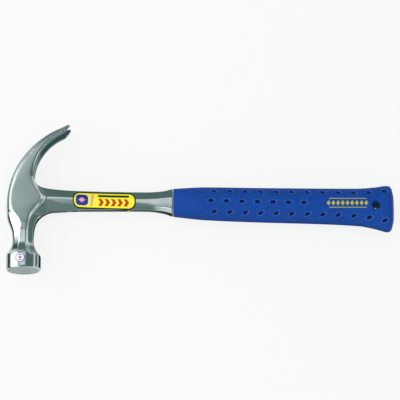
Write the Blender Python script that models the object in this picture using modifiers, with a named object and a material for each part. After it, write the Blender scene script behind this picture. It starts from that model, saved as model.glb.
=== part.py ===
"""Curved claw hammer of the one-piece forged kind, lying on its side.

The design frame has X along the handle from the axis of the head, +Y towards the claw, -Y towards the
striking face and Z across the width, with the forging's parting plane at Z = 0. Sizes are in
millimetres. One empty lifts the hammer onto the floor and centres it.
"""

import math
from dataclasses import astuple, dataclass

import bmesh
import bpy
import numpy as np

MM = 0.001

# Overall
OVERALL_LENGTH = 330.0
CLEARANCE = 0.3

# Bell and striking face
BELL_RADIUS = 14.7
FACE_LEVEL = -61.0
FACE_CHAMFER = 1.2
BELL_SIDES = 64

# Flare from the eight-sided neck to the bell
FLARE_START = -34.0
FLARE_RADIUS = 19.0
FLARE_RUN = 18.0

# Claw in side view: two arcs, the back one tangent to the back of the cheek
CHEEK_BACK = 15.0
CHEEK_CENTRE = -3.0
CLAW_BACK_RADIUS = 71.5
CLAW_REACH = 38.6
CLAW_ROOT_DEPTH = 8.0
CLAW_ROOT_LEVEL = 19.0
CLAW_INNER_RADIUS = 43.0
TIP_THICKNESS = 1.6
TIP_BEVEL = 4.8

# Claw across its width
CLAW_TIP_HALF_WIDTH = 12.8
CLAW_ROOT_HALF_WIDTH = 11.6
CLAW_SPREAD_POWER = 1.5
CLAW_EDGE_CHAMFER = 1.2
CLAW_CHAMFER_SHARE = 0.4
CLAW_CROWN = 6.5
CLAW_CROWN_SHARE = 0.5
TIP_CORNER_RADIUS = 3.5

# Cheek: the prow that points along the shank, and the rounded shoulder of the back
PROW_X = 19.4
PROW_LEVEL = 1.9
PROW_FRONT = 0.2
SHOULDER_RUN = 0.28
SHOULDER_RISE = 0.55

# Nail slot: a V with a round end, wider on the inside of the claw
SLOT_LENGTH = 30.0
SLOT_MOUTH_HALF_WIDTH = 5.8
SLOT_END_RADIUS = 1.1
SLOT_WALL_ANGLE = math.radians(33.0)

# Shank
SHANK_START = 2.0
SHANK_RIDGE_HEIGHT = 5.8
SHANK_EDGE_HEIGHT = 3.2
SHANK_RIDGE_FLAT = 0.35
SHANK_LOWER_BEVEL = 3.0
SHANK_LOWER_BULGE = 0.55
NECK_FILLET_RADIUS = 17.4
NECK_FILLET_X = 26.2
NECK_FILLET_LEVEL = -27.0
NECK_FILLET_FOOT = 11.6
COLLAR_START = 106.0
COLLAR_SWELL = 12.0
COLLAR_HALF_DEPTH = 11.1
COLLAR_EDGE_HEIGHT = 5.4
COLLAR_RIDGE_FLAT = 3.6

# Tang and its eye
TANG_HALF_DEPTH = 7.5
TANG_HALF_THICKNESS = 4.2
TANG_WEB_HALF_THICKNESS = 2.2
TANG_FLANGE = 3.0
TANG_ROOT = 4.0
TANG_END_WALL = 7.0
TANG_END_TURN = math.radians(70.0)
EYE_RADIUS = 5.0

# Grip
GRIP_START = 126.7
GRIP_FRONT_HALF_DEPTH = 12.0
GRIP_FRONT_HALF_THICKNESS = 9.4
GRIP_BODY_HALF_DEPTH = 14.5
GRIP_BODY_HALF_THICKNESS = 12.6
GRIP_END_HALF_THICKNESS = 13.2
GRIP_FLARE_HALF_DEPTH = 20.0
GRIP_SQUARENESS = 2.35
GRIP_LIP = 0.5
GRIP_END_RADIUS = 4.2
GRIP_END_BULGE = 1.4
GRIP_END_DOME = 7.0
GRIP_SIDES = 40
HANG_HOLE_RADIUS = 3.0
HANG_HOLE_FROM_END = 15.4

# Dimples pressed into the grip
DIMPLE_LENGTH = 5.4
DIMPLE_WIDTH = 3.0
DIMPLE_DEPTH = 1.1
DIMPLE_SEGMENTS = 10
DIMPLE_RINGS = 6
OUTER_ROW_FROM_START = 35.5
OUTER_ROW_FROM_END = 8.15
OUTER_ROW_COUNT = 12
OUTER_ROW_ANGLE = math.radians(38.0)
OUTER_ROW_TILT = math.radians(32.0)
MIDDLE_ROW_FROM_START = 32.7
MIDDLE_ROW_COUNT = 7

# Label on the shank and sticker on the bell
LABEL_START = 41.5
LABEL_LENGTH = 53.8
LABEL_DEPTH = 14.6
LABEL_DROP = 0.6
LABEL_CORNER_RADIUS = 6.2
STICKER_RADIUS = 4.2
STICKER_LEVEL = -52.5
STICKER_TURN = math.radians(-8.0)
FILM_THICKNESS = 0.2
FILM_GAP = 0.2

# Places that follow from the sizes
GRIP_END = OVERALL_LENGTH - CHEEK_BACK
GRIP_SWELL = GRIP_START + 62.0
GRIP_FLARE = GRIP_END - 30.0
HANG_HOLE_X = GRIP_END - HANG_HOLE_FROM_END

# Smooth lines along the handle, as (place, value) pairs. The shank's lines end where the grip starts.
HANDLE_CENTRE = ((0.0, 1.2), (GRIP_START, -1.3), (GRIP_SWELL, -3.1), (GRIP_FLARE, -5.3), (GRIP_END, -7.2))
SHANK_TOP = (
    (SHANK_START, CLAW_ROOT_LEVEL),
    (9.0, 17.2),
    (11.0, 14.4),
    (15.0, 12.0),
    (26.0, 10.0),
    (43.0, 8.7),
    (72.0, 7.8),
    (COLLAR_START, 7.4),
    (COLLAR_START + COLLAR_SWELL, 8.0),
)
SHANK_RIDGE = ((SHANK_START, 2.0), (PROW_X, PROW_LEVEL), (60.0, 0.2))
SHANK_BOTTOM = (
    (NECK_FILLET_X, NECK_FILLET_LEVEL + NECK_FILLET_RADIUS),
    (50.0, -8.4),
    (80.0, -8.3),
    (COLLAR_START, -8.6),
    (COLLAR_START + COLLAR_SWELL, -9.9),
)
GRIP_HALF_DEPTH = (
    (GRIP_START, GRIP_FRONT_HALF_DEPTH),
    (GRIP_START + 30.0, GRIP_BODY_HALF_DEPTH - 0.5),
    (GRIP_SWELL, GRIP_BODY_HALF_DEPTH),
    (GRIP_END - 65.0, GRIP_BODY_HALF_DEPTH + 0.6),
    (GRIP_FLARE, GRIP_BODY_HALF_DEPTH + 1.5),
    (GRIP_END - 16.0, GRIP_BODY_HALF_DEPTH + 3.4),
    (GRIP_END - 5.0, GRIP_FLARE_HALF_DEPTH),
    (GRIP_END, GRIP_FLARE_HALF_DEPTH),
)
GRIP_HALF_THICKNESS = (
    (GRIP_START, GRIP_FRONT_HALF_THICKNESS),
    (GRIP_START + 26.0, GRIP_BODY_HALF_THICKNESS),
    (GRIP_END, GRIP_END_HALF_THICKNESS),
)


@dataclass(frozen=True)
class HeadSection:
    """One level of the head below the claw: where each crease of one side crosses it.

    Names with _in are distances in from the back line of the claw and cheek, names with _x are distances
    along the handle, and names with _z are heights above the parting plane.
    """

    level: float
    back_in: float
    hollow_back_in: float
    hollow_back_z: float
    hollow_front_in: float
    hollow_front_z: float
    side_back_x: float
    width_loss: float
    bevel_top_x: float
    bevel_foot_x: float
    bevel_foot_z: float
    front_edge_x: float
    front_edge_z: float
    front_x: float


# The cheek from the claw root down to the prow
CLAW_ROOT_SECTION = HeadSection(
    CLAW_ROOT_LEVEL, 0.0, 1.2, 7.6, 2.6, 9.8, -5.0, 0.0, CLAW_ROOT_DEPTH - CLAW_EDGE_CHAMFER,
    CLAW_ROOT_DEPTH, CLAW_ROOT_HALF_WIDTH - CLAW_EDGE_CHAMFER, CLAW_ROOT_DEPTH, 5.0, CLAW_ROOT_DEPTH)
PROW_SECTION = HeadSection(
    PROW_LEVEL, 0.0, 1.3, 7.6, 2.7, 9.8, -8.2, 0.3, 14.3, PROW_X, 5.6, PROW_X + PROW_FRONT, 2.4,
    PROW_X + PROW_FRONT)
UPPER_SECTIONS = (
    CLAW_ROOT_SECTION,
    HeadSection(15.7, 0.0, 1.3, 7.6, 2.7, 9.8, -6.0, 0.1, 7.4, 9.4, 4.6, 9.6, 2.4, 9.6),
    HeadSection(10.7, 0.0, 1.3, 7.6, 2.7, 9.8, -7.2, 0.2, 9.6, 12.4, 4.8, 12.6, 2.4, 12.6),
    HeadSection(5.0, 0.0, 1.3, 7.6, 2.7, 9.8, -8.0, 0.3, 13.2, 16.9, 5.2, 17.1, 2.4, 17.1),
    PROW_SECTION,
)

# The cheek from the prow down to the neck, with the hollow that opens at the back
LOWER_SECTIONS = (
    PROW_SECTION,
    HeadSection(-3.0, 0.0, 1.4, 7.6, 2.7, 9.8, -8.6, 0.3, 12.6, 15.4, 3.6, 15.6, 2.0, 15.6),
    HeadSection(-8.4, 0.0, 1.8, 7.6, 2.6, 9.2, -9.4, 0.4, 8.6, 10.7, 3.6, 10.9, 2.0, 10.9),
    HeadSection(-12.6, 0.2, 2.4, 6.8, 6.4, 9.8, -7.6, 0.6, 5.4, 7.4, 5.0, 14.0, 3.2, 15.0),
    HeadSection(-17.2, 1.0, 3.7, 5.8, 10.5, 10.0, -3.8, 0.9, 3.7, 5.6, 6.9, 11.3, 3.4, 11.8),
    HeadSection(-23.0, 3.2, 5.6, 5.0, 11.9, 9.4, -1.2, 1.5, 2.5, 4.8, 8.0, 8.8, 4.2, 9.5),
    HeadSection(-28.0, 4.8, 6.8, 4.6, 12.1, 8.9, 1.4, 2.0, 1.9, 4.4, 8.4, 7.8, 4.5, 8.8),
    HeadSection(FLARE_START, 5.3, 7.1, 4.5, 11.6, 8.7, 1.4, 2.2, 1.8, 4.3, 8.4, 7.6, 4.5, 8.4),
)
NECK_HALF_WIDTH = CLAW_ROOT_HALF_WIDTH - LOWER_SECTIONS[-1].width_loss

# Stations along the lofts
CLAW_STATIONS = 22
CLAW_STATION_POWER = 1.4
UPPER_STATIONS = 9
LOWER_STATIONS = 24
FLARE_STATIONS = 10
FILLET_STATIONS = 14
SHANK_STATIONS = 8
COLLAR_STATIONS = 8
TANG_STATIONS = 9
TANG_END_STATIONS = 5
GRIP_STATIONS = 25
LABEL_STATIONS = 8
LABEL_END_STATIONS = 7
STICKER_STATIONS = 11
HOLE_SIDES = 24

CROWN_ANGLES = tuple(math.radians(degrees) for degrees in (0.0, 30.0, 54.0, 74.0, 90.0))


def monotone_curve(knots, values, samples: list) -> list:
    """Return a smooth curve through the knots, with no overshoot between them."""
    x = np.array(knots, dtype=float)
    y = np.array(values, dtype=float)
    steps = np.diff(x)
    chords = np.diff(y) / steps
    slopes = np.zeros(len(x))
    slopes[0] = chords[0]
    slopes[-1] = chords[-1]
    for i in range(1, len(x) - 1):
        if chords[i - 1] * chords[i] > 0.0:
            before = 2.0 * steps[i] + steps[i - 1]
            after = steps[i] + 2.0 * steps[i - 1]
            slopes[i] = (before + after) / (before / chords[i - 1] + after / chords[i])
    result = []
    for sample in samples:
        i = int(np.clip(np.searchsorted(x, sample) - 1, 0, len(steps) - 1))
        t = (sample - x[i]) / steps[i]
        rise = (1.0 + 2.0 * t) * (1.0 - t) ** 2 * y[i] + t * t * (3.0 - 2.0 * t) * y[i + 1]
        lean = t * (1.0 - t) ** 2 * slopes[i] - t * t * (1.0 - t) * slopes[i + 1]
        result.append(rise + lean * steps[i])
    return result


def on_line(line: tuple, place: float) -> float:
    """Return the value of a smooth line, given as (place, value) pairs, at a place."""
    places, values = zip(*line)
    return monotone_curve(places, values, [place])[0]


def blend(first: float, last: float, share: float) -> float:
    """Return the value at a share of the way from the first to the last."""
    return first + (last - first) * share


def spread(first: float, last: float, count: int) -> list:
    """Return evenly spaced values that include both ends."""
    return [blend(first, last, i / (count - 1)) for i in range(count)]


def new_material(name: str, colour: tuple, metallic: float, roughness: float):
    """Return a Principled material of one colour."""
    material = bpy.data.materials.new(name)
    material.use_nodes = True
    shader = material.node_tree.nodes["Principled BSDF"]
    shader.inputs["Base Color"].default_value = (*colour, 1.0)
    shader.inputs["Metallic"].default_value = metallic
    shader.inputs["Roughness"].default_value = roughness
    material.diffuse_color = (*colour, 1.0)
    return material


def add_object(name: str, mesh, collection, parent):
    """Place a mesh in a collection under the hammer's empty."""
    obj = bpy.data.objects.new(name, mesh)
    collection.objects.link(obj)
    obj.parent = parent
    return obj


def loft(name: str, rings: list, collection, parent):
    """Skin a row of closed rings of equal count, cap both ends and return the object."""
    mesh = bpy.data.meshes.new(name)
    builder = bmesh.new()
    rows = []
    for ring in rings:
        rows.append([builder.verts.new((x * MM, y * MM, z * MM)) for x, y, z in ring])
    count = len(rows[0])
    for near, far in zip(rows, rows[1:]):
        for i in range(count):
            j = (i + 1) % count
            builder.faces.new((near[i], near[j], far[j], far[i]))
    builder.faces.new(rows[0])
    builder.faces.new(rows[-1])
    bmesh.ops.recalc_face_normals(builder, faces=builder.faces)
    builder.to_mesh(mesh)
    builder.free()
    return add_object(name, mesh, collection, parent)


def add_cylinder(name: str, radius: float, half_length: float, centre: tuple, collection, parent):
    """Add a cylinder along Z."""
    mesh = bpy.data.meshes.new(name)
    builder = bmesh.new()
    bmesh.ops.create_cone(builder, cap_ends=True, segments=HOLE_SIDES, radius1=radius * MM,
                          radius2=radius * MM, depth=2.0 * half_length * MM)
    builder.to_mesh(mesh)
    builder.free()
    obj = add_object(name, mesh, collection, parent)
    obj.location = [value * MM for value in centre]
    return obj


def combine(target, tool, operation: str) -> None:
    """Add a Boolean of one operation to the target and hide the tool."""
    modifier = target.modifiers.new(f"{operation.lower()}_{tool.name}", "BOOLEAN")
    modifier.operation = operation
    modifier.solver = "EXACT"
    modifier.object = tool
    tool.hide_render = True
    tool.display_type = "WIRE"


def finish(obj, material, smooth_angle: float) -> None:
    """Give an object its material and smooth shading up to an angle."""
    obj.data.materials.append(material)
    obj.data.shade_smooth()
    obj.data.set_sharp_from_angle(angle=math.radians(smooth_angle))


def mirrored_ring(half: list) -> list:
    """Close a half ring, whose first and last points lie on the parting plane, by its mirror image."""
    return half + [(x, y, -z) for x, y, z in reversed(half[1:-1])]


def back_arc(angle: float) -> tuple:
    """Return a point of the back of the claw at an angle about the arc's centre."""
    x = CLAW_BACK_RADIUS - CHEEK_BACK + CLAW_BACK_RADIUS * math.cos(angle)
    y = CHEEK_CENTRE + CLAW_BACK_RADIUS * math.sin(angle)
    return x, y


def inner_arc(angle: float) -> tuple:
    """Return a point of the inside of the claw at an angle about the arc's centre."""
    x = CLAW_ROOT_DEPTH + CLAW_INNER_RADIUS * (1.0 + math.cos(angle))
    y = CLAW_ROOT_LEVEL + CLAW_INNER_RADIUS * math.sin(angle)
    return x, y


def back_line(level: float) -> float:
    """Return where the back of the claw, and below its arc the straight cheek, crosses a level."""
    rise = max(level - CHEEK_CENTRE, 0.0)
    return CLAW_BACK_RADIUS - CHEEK_BACK - math.sqrt(CLAW_BACK_RADIUS ** 2 - rise ** 2)


def claw_tip_angle() -> float:
    """Return the angle of the back arc where it reaches the tip."""
    return math.acos((CLAW_REACH + CHEEK_BACK - CLAW_BACK_RADIUS) / CLAW_BACK_RADIUS)


def claw_ring(share: float) -> list:
    """Return the claw's section at a share of the way from the tip to the root."""
    tip_angle = claw_tip_angle()
    root_angle = math.pi - math.asin((CLAW_ROOT_LEVEL - CHEEK_CENTRE) / CLAW_BACK_RADIUS)
    back = back_arc(blend(tip_angle, root_angle, share))

    tip_inner = (CLAW_REACH, back_arc(tip_angle)[1] - TIP_THICKNESS)
    bevel_x = CLAW_REACH - TIP_BEVEL
    bevel_angle = math.acos((bevel_x - CLAW_ROOT_DEPTH - CLAW_INNER_RADIUS) / CLAW_INNER_RADIUS)
    bevel_end = inner_arc(bevel_angle)
    bevel_length = math.dist(tip_inner, bevel_end)
    inner_length = bevel_length + CLAW_INNER_RADIUS * (math.pi - bevel_angle)
    travelled = share * inner_length
    if travelled < bevel_length:
        inner = tuple(blend(a, b, travelled / bevel_length) for a, b in zip(tip_inner, bevel_end))
    else:
        inner = inner_arc(bevel_angle + (travelled - bevel_length) / CLAW_INNER_RADIUS)

    thickness = math.dist(back, inner)
    half_width = blend(CLAW_ROOT_HALF_WIDTH, CLAW_TIP_HALF_WIDTH, (1.0 - share) ** CLAW_SPREAD_POWER)
    from_tip = share * CLAW_BACK_RADIUS * (root_angle - tip_angle)
    if from_tip < TIP_CORNER_RADIUS:
        lost = TIP_CORNER_RADIUS - from_tip
        half_width -= TIP_CORNER_RADIUS - math.sqrt(TIP_CORNER_RADIUS ** 2 - lost ** 2)
    chamfer = min(CLAW_EDGE_CHAMFER, CLAW_CHAMFER_SHARE * thickness)
    crown = min(CLAW_CROWN, CLAW_CROWN_SHARE * thickness)

    depths = [crown * (1.0 - math.cos(angle)) for angle in CROWN_ANGLES]
    heights = [half_width * math.sin(angle) for angle in CROWN_ANGLES]
    depths += [thickness - chamfer, thickness, thickness, thickness]
    heights += [half_width, half_width - chamfer, 0.5 * half_width, 0.0]
    half = []
    for depth, height in zip(depths, heights):
        part = depth / thickness
        half.append((blend(back[0], inner[0], part), blend(back[1], inner[1], part), height))
    return mirrored_ring(half)


def head_ring(section: HeadSection, scale: float = 1.0) -> list:
    """Return the ring of one head section, grown about the head's axis by a scale."""
    back = back_line(section.level)
    half_width = CLAW_ROOT_HALF_WIDTH - section.width_loss
    shoulder_in = blend(section.back_in, section.hollow_back_in, SHOULDER_RUN)
    half = [
        (back + section.back_in, 0.0),
        (back + shoulder_in, SHOULDER_RISE * section.hollow_back_z),
        (back + section.hollow_back_in, section.hollow_back_z),
        (back + section.hollow_front_in, section.hollow_front_z),
        (section.side_back_x, half_width),
        (section.bevel_top_x, half_width),
        (section.bevel_foot_x, section.bevel_foot_z),
        (section.front_edge_x, section.front_edge_z),
        (section.front_x, 0.0),
    ]
    return mirrored_ring([(x * scale, section.level, z * scale) for x, z in half])


def blended_sections(sections: tuple, count: int) -> list:
    """Return evenly spaced head sections on smooth curves through the given ones."""
    knots = [-section.level for section in sections]
    samples = spread(knots[0], knots[-1], count)
    columns = zip(*(astuple(section) for section in sections))
    curves = [monotone_curve(knots, column, samples) for column in columns]
    return [HeadSection(*row) for row in zip(*curves)]


def flare_scale(level: float) -> float:
    """Return how much the neck's section has grown at a level of the flare."""
    run = min(FLARE_START - level, FLARE_RUN)
    rise = FLARE_RADIUS - math.sqrt(FLARE_RADIUS ** 2 - run ** 2)
    return 1.0 + rise / NECK_HALF_WIDTH


def head_blank(collection, parent):
    """Loft the head from the claw tips down to the flare, past the striking face."""
    rings = []
    for i in range(CLAW_STATIONS):
        rings.append(claw_ring((i / (CLAW_STATIONS - 1)) ** CLAW_STATION_POWER))
    for section in blended_sections(UPPER_SECTIONS, UPPER_STATIONS)[1:]:
        rings.append(head_ring(section))
    for section in blended_sections(LOWER_SECTIONS, LOWER_STATIONS)[1:]:
        rings.append(head_ring(section))
    neck = astuple(LOWER_SECTIONS[-1])[1:]
    for level in spread(FLARE_START, FLARE_START - FLARE_RUN, FLARE_STATIONS)[1:]:
        rings.append(head_ring(HeadSection(level, *neck), flare_scale(level)))
    past_face = FACE_LEVEL - BELL_RADIUS
    rings.append(head_ring(HeadSection(past_face, *neck), flare_scale(past_face)))
    return loft("forged_head_and_shank", rings, collection, parent)


def bell_envelope(collection, parent):
    """Turn the outline that the bell is machined to; above the flare it is wider than the head."""
    wide = OVERALL_LENGTH
    profile = [
        (0.0, 2.0 * wide),
        (wide, 2.0 * wide),
        (wide, FLARE_START),
        (BELL_RADIUS, FLARE_START),
        (BELL_RADIUS, FACE_LEVEL + FACE_CHAMFER),
        (BELL_RADIUS - FACE_CHAMFER, FACE_LEVEL),
        (0.0, FACE_LEVEL),
    ]
    mesh = bpy.data.meshes.new("bell_envelope")
    edges = [(i, i + 1) for i in range(len(profile) - 1)]
    mesh.from_pydata([(x * MM, y * MM, 0.0) for x, y in profile], edges, [])
    obj = add_object("bell_envelope", mesh, collection, parent)
    screw = obj.modifiers.new("turn", "SCREW")
    screw.axis = "Y"
    screw.steps = BELL_SIDES
    screw.render_steps = BELL_SIDES
    screw.use_merge_vertices = True
    screw.merge_threshold = 0.00001
    return obj


def shank_profile(x: float) -> tuple:
    """Return the shank's top, ridge and bottom levels at a place along it."""
    centre = grip_centre(GRIP_START)
    top = on_line(SHANK_TOP + ((GRIP_START, centre + COLLAR_HALF_DEPTH),), x)
    ridge = on_line(SHANK_RIDGE + ((GRIP_START, centre),), x)
    if x < NECK_FILLET_X:
        run = NECK_FILLET_X - max(x, NECK_FILLET_FOOT)
        bottom = NECK_FILLET_LEVEL + math.sqrt(NECK_FILLET_RADIUS ** 2 - run ** 2)
    else:
        bottom = on_line(SHANK_BOTTOM + ((GRIP_START, centre - COLLAR_HALF_DEPTH),), x)
    return top, ridge, bottom


def shank_half(x: float) -> list:
    """Return the level and height of each corner of the shank's upper half, from the bottom to the top."""
    top, ridge, bottom = shank_profile(x)
    share = on_line(((SHANK_START, 0.0), (COLLAR_START, 0.0), (GRIP_START, 1.0)), x)
    ridge_z = blend(SHANK_RIDGE_HEIGHT, GRIP_FRONT_HALF_THICKNESS, share)
    edge_z = blend(SHANK_EDGE_HEIGHT, COLLAR_EDGE_HEIGHT, share)
    flat = blend(SHANK_RIDGE_FLAT, COLLAR_RIDGE_FLAT, share)
    bevel = bottom + SHANK_LOWER_BEVEL
    bevel_share = SHANK_LOWER_BULGE * (ridge - flat - bevel) / (ridge - flat - bottom)
    bevel_z = blend(ridge_z, edge_z, bevel_share)
    ridge_flat = [(ridge - flat, ridge_z), (ridge + flat, ridge_z)]
    return [(bottom, edge_z), (bevel, bevel_z), *ridge_flat, (top, edge_z)]


def shank_ring(x: float) -> list:
    """Return the shank's closed section at a place along it."""
    half = shank_half(x)
    return [(x, y, z) for y, z in half] + [(x, y, -z) for y, z in reversed(half)]


def shank(collection, parent):
    """Loft the shank from inside the head to the collar that the grip butts against."""
    places = spread(SHANK_START, NECK_FILLET_X, FILLET_STATIONS)
    places += spread(NECK_FILLET_X, COLLAR_START, SHANK_STATIONS)[1:]
    places += spread(COLLAR_START, GRIP_START, COLLAR_STATIONS)[1:]
    return loft("shank", [shank_ring(x) for x in places], collection, parent)


def tang_ring(x: float, share: float, clearance: float) -> list:
    """Return the I-section of the tang, at a share of its depth and grown all round by a clearance."""
    centre = grip_centre(x)
    outer = TANG_HALF_THICKNESS + clearance
    web = TANG_WEB_HALF_THICKNESS + clearance
    depth = share * TANG_HALF_DEPTH + clearance
    inside = share * (TANG_HALF_DEPTH - TANG_FLANGE) - clearance
    root = inside - share * (TANG_HALF_THICKNESS - TANG_WEB_HALF_THICKNESS)
    half = [(depth, outer), (inside, outer), (root, web), (-root, web), (-inside, outer), (-depth, outer)]
    ring = [(x, centre + y, z) for y, z in half]
    return ring + [(px, py, -pz) for px, py, pz in reversed(ring)]


def tang(name: str, clearance: float, collection, parent):
    """Loft the tang from inside the collar to its rounded end, grown by a clearance."""
    end = GRIP_END - TANG_END_WALL
    places = spread(GRIP_START - TANG_ROOT, end - TANG_HALF_DEPTH, TANG_STATIONS)
    rings = [tang_ring(x, 1.0, clearance) for x in places]
    for angle in spread(0.0, TANG_END_TURN, TANG_END_STATIONS + 1)[1:]:
        x = end - TANG_HALF_DEPTH + (TANG_HALF_DEPTH + clearance) * math.sin(angle)
        rings.append(tang_ring(x, math.cos(angle), clearance))
    return loft(name, rings, collection, parent)


def grip_centre(x: float) -> float:
    """Return the level of the handle's middle, which leans towards the face."""
    return on_line(HANDLE_CENTRE, x)


def grip_point(x: float, angle: float, inset: float = 0.0) -> tuple:
    """Return a point of the grip's surface, at an angle from the side crest towards the claw."""
    power = 2.0 / GRIP_SQUARENESS
    y_share = math.copysign(abs(math.sin(angle)) ** power, math.sin(angle))
    z_share = math.copysign(abs(math.cos(angle)) ** power, math.cos(angle))
    y = grip_centre(x) + (on_line(GRIP_HALF_DEPTH, x) - inset) * y_share
    return x, y, (on_line(GRIP_HALF_THICKNESS, x) - inset) * z_share


def grip_ring(x: float, inset: float, shown_x: float) -> list:
    """Return the grip's section of one place, inset and moved to the place where it shows."""
    angles = [2.0 * math.pi * (i + 0.5) / GRIP_SIDES for i in range(GRIP_SIDES)]
    return [(shown_x, *grip_point(x, angle, inset)[1:]) for angle in angles]


def grip(collection, parent):
    """Loft the moulded grip, with a rounded and slightly bulging end."""
    corner = GRIP_END - GRIP_END_BULGE - GRIP_END_RADIUS
    front = GRIP_START + CLEARANCE
    rings = [grip_ring(front, GRIP_LIP, front)]
    for x in spread(front + GRIP_LIP, corner, GRIP_STATIONS):
        rings.append(grip_ring(x, 0.0, x))
    for degrees in (22.0, 45.0, 68.0, 84.0):
        angle = math.radians(degrees)
        inset = GRIP_END_RADIUS * (1.0 - math.cos(angle))
        rings.append(grip_ring(corner, inset, corner + GRIP_END_RADIUS * math.sin(angle)))
    for share in (0.35, 0.7, 1.0):
        inset = GRIP_END_RADIUS + GRIP_END_DOME * share
        bulge = GRIP_END_BULGE * math.sin(0.5 * math.pi * share)
        rings.append(grip_ring(corner, inset, corner + GRIP_END_RADIUS + bulge))
    return loft("vinyl_grip", rings, collection, parent)


def dimple_spots() -> list:
    """Return each dimple's place along the grip, angle round it and tilt, for the upper side."""
    spots = []
    row = spread(GRIP_START + OUTER_ROW_FROM_START, GRIP_END - OUTER_ROW_FROM_END, OUTER_ROW_COUNT)
    for x in row:
        spots.append((x, OUTER_ROW_ANGLE, -OUTER_ROW_TILT))
        spots.append((x, -OUTER_ROW_ANGLE, OUTER_ROW_TILT))
    for x in row[:MIDDLE_ROW_COUNT]:
        spots.append((x + MIDDLE_ROW_FROM_START - OUTER_ROW_FROM_START, 0.0, 0.0))
    return spots


def dimples(collection, parent):
    """Make the lens-shaped punches that press the dimples into both sides of the grip."""
    mesh = bpy.data.meshes.new("dimple_punches")
    builder = bmesh.new()
    step = 0.01
    for x, angle, tilt in dimple_spots():
        centre = np.array(grip_point(x, angle))
        along = np.array(grip_point(x + step, angle)) - centre
        around = np.array(grip_point(x, angle + step)) - centre
        along /= np.linalg.norm(along)
        around /= np.linalg.norm(around)
        outward = np.cross(along, around)
        outward /= np.linalg.norm(outward)
        long_axis = along * math.cos(tilt) + around * math.sin(tilt)
        short_axis = np.cross(outward, long_axis)
        for side in (1.0, -1.0):
            punch = bmesh.ops.create_uvsphere(
                builder, u_segments=DIMPLE_SEGMENTS, v_segments=DIMPLE_RINGS, radius=1.0)
            for vertex in punch["verts"]:
                place = centre + long_axis * vertex.co.x * 0.5 * DIMPLE_LENGTH
                place += short_axis * vertex.co.y * 0.5 * DIMPLE_WIDTH
                place += outward * vertex.co.z * DIMPLE_DEPTH
                vertex.co = (place[0] * MM, place[1] * MM, side * place[2] * MM)
    bmesh.ops.recalc_face_normals(builder, faces=builder.faces)
    builder.to_mesh(mesh)
    builder.free()
    return add_object("dimple_punches", mesh, collection, parent)


def nail_slot(collection, parent):
    """Loft the V-shaped cutter of the nail slot, square to the claw at the slot's middle."""
    tip_angle = claw_tip_angle()
    tip = np.array(back_arc(tip_angle))
    end = np.array(back_arc(tip_angle + SLOT_LENGTH / CLAW_BACK_RADIUS))
    along = (tip - end) / np.linalg.norm(tip - end)
    outward = np.array((-along[1], along[0]))
    length = float(np.linalg.norm(tip - end))
    reach = 1.5 * CLAW_ROOT_HALF_WIDTH
    overshoot = 2.0 * CLAW_EDGE_CHAMFER + TIP_BEVEL
    rings = []
    for offset in (reach, 0.0, -reach):
        widening = max(-offset, 0.0) * math.tan(SLOT_WALL_ANGLE)
        end_radius = SLOT_END_RADIUS + widening
        slope = (SLOT_MOUTH_HALF_WIDTH - SLOT_END_RADIUS) / length
        outline = [(length + overshoot, end_radius + slope * (length + overshoot))]
        for degrees in spread(0.0, 90.0, 5):
            angle = math.radians(degrees)
            outline.append((-end_radius * math.sin(angle), end_radius * math.cos(angle)))
        ring = []
        for distance, height in outline:
            place = end + along * distance + outward * offset
            ring.append((place[0], place[1], height))
        ring += [(x, y, -z) for x, y, z in reversed(ring[:-1])]
        rings.append(ring)
    return loft("nail_slot", rings, collection, parent)


def film_section(x: float, half: float, lift: float) -> list:
    """Return a strip across the shank's upper side, as deep as twice the half, lifted off the steel."""
    levels, heights = zip(*shank_half(x))
    bevel, ridge_low, ridge_top = levels[1:4]
    low = 0.5 * (ridge_low + ridge_top) - LABEL_DROP - half
    high = low + 2.0 * half
    fold = bevel if bevel > low else 0.5 * (low + ridge_low)
    strip = (low, fold, ridge_low, ridge_top, high)
    return [(x, y, float(np.interp(y, levels, heights)) + lift) for y in strip]


def shank_label(collection, parent):
    """Loft the film label that is folded over the shank's ridge, with rounded corners."""
    straight = 0.5 * LABEL_LENGTH - LABEL_CORNER_RADIUS
    ends = []
    for degrees in spread(0.0, 90.0, LABEL_END_STATIONS):
        angle = math.radians(degrees)
        place = straight + LABEL_CORNER_RADIUS * math.cos(angle)
        ends.append((place, LABEL_CORNER_RADIUS * (1.0 - math.sin(angle))))
    columns = [(-place, loss) for place, loss in ends]
    columns += [(place, 0.0) for place in spread(-straight, straight, LABEL_STATIONS)[1:-1]]
    columns += ends[::-1]
    rings = []
    for place, loss in columns:
        x = LABEL_START + 0.5 * LABEL_LENGTH + place
        half = 0.5 * LABEL_DEPTH - loss
        low = film_section(x, half, FILM_GAP)
        high = film_section(x, half, FILM_GAP + FILM_THICKNESS)
        rings.append(low + high[::-1])
    return loft("shank_label", rings, collection, parent)


def bell_sticker(collection, parent):
    """Loft the round sticker that is bent over the bell."""
    rings = []
    inner = BELL_RADIUS + FILM_GAP
    outer = inner + FILM_THICKNESS
    for degrees in spread(12.0, 168.0, STICKER_STATIONS):
        angle = math.radians(degrees)
        level = STICKER_LEVEL + STICKER_RADIUS * math.cos(angle)
        spread_angle = STICKER_RADIUS * math.sin(angle) / BELL_RADIUS
        turns = [STICKER_TURN + turn for turn in spread(-spread_angle, spread_angle, 5)]
        low = [(inner * math.sin(turn), level, inner * math.cos(turn)) for turn in turns]
        high = [(outer * math.sin(turn), level, outer * math.cos(turn)) for turn in reversed(turns)]
        rings.append(low + high)
    return loft("bell_sticker", rings, collection, parent)


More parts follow.
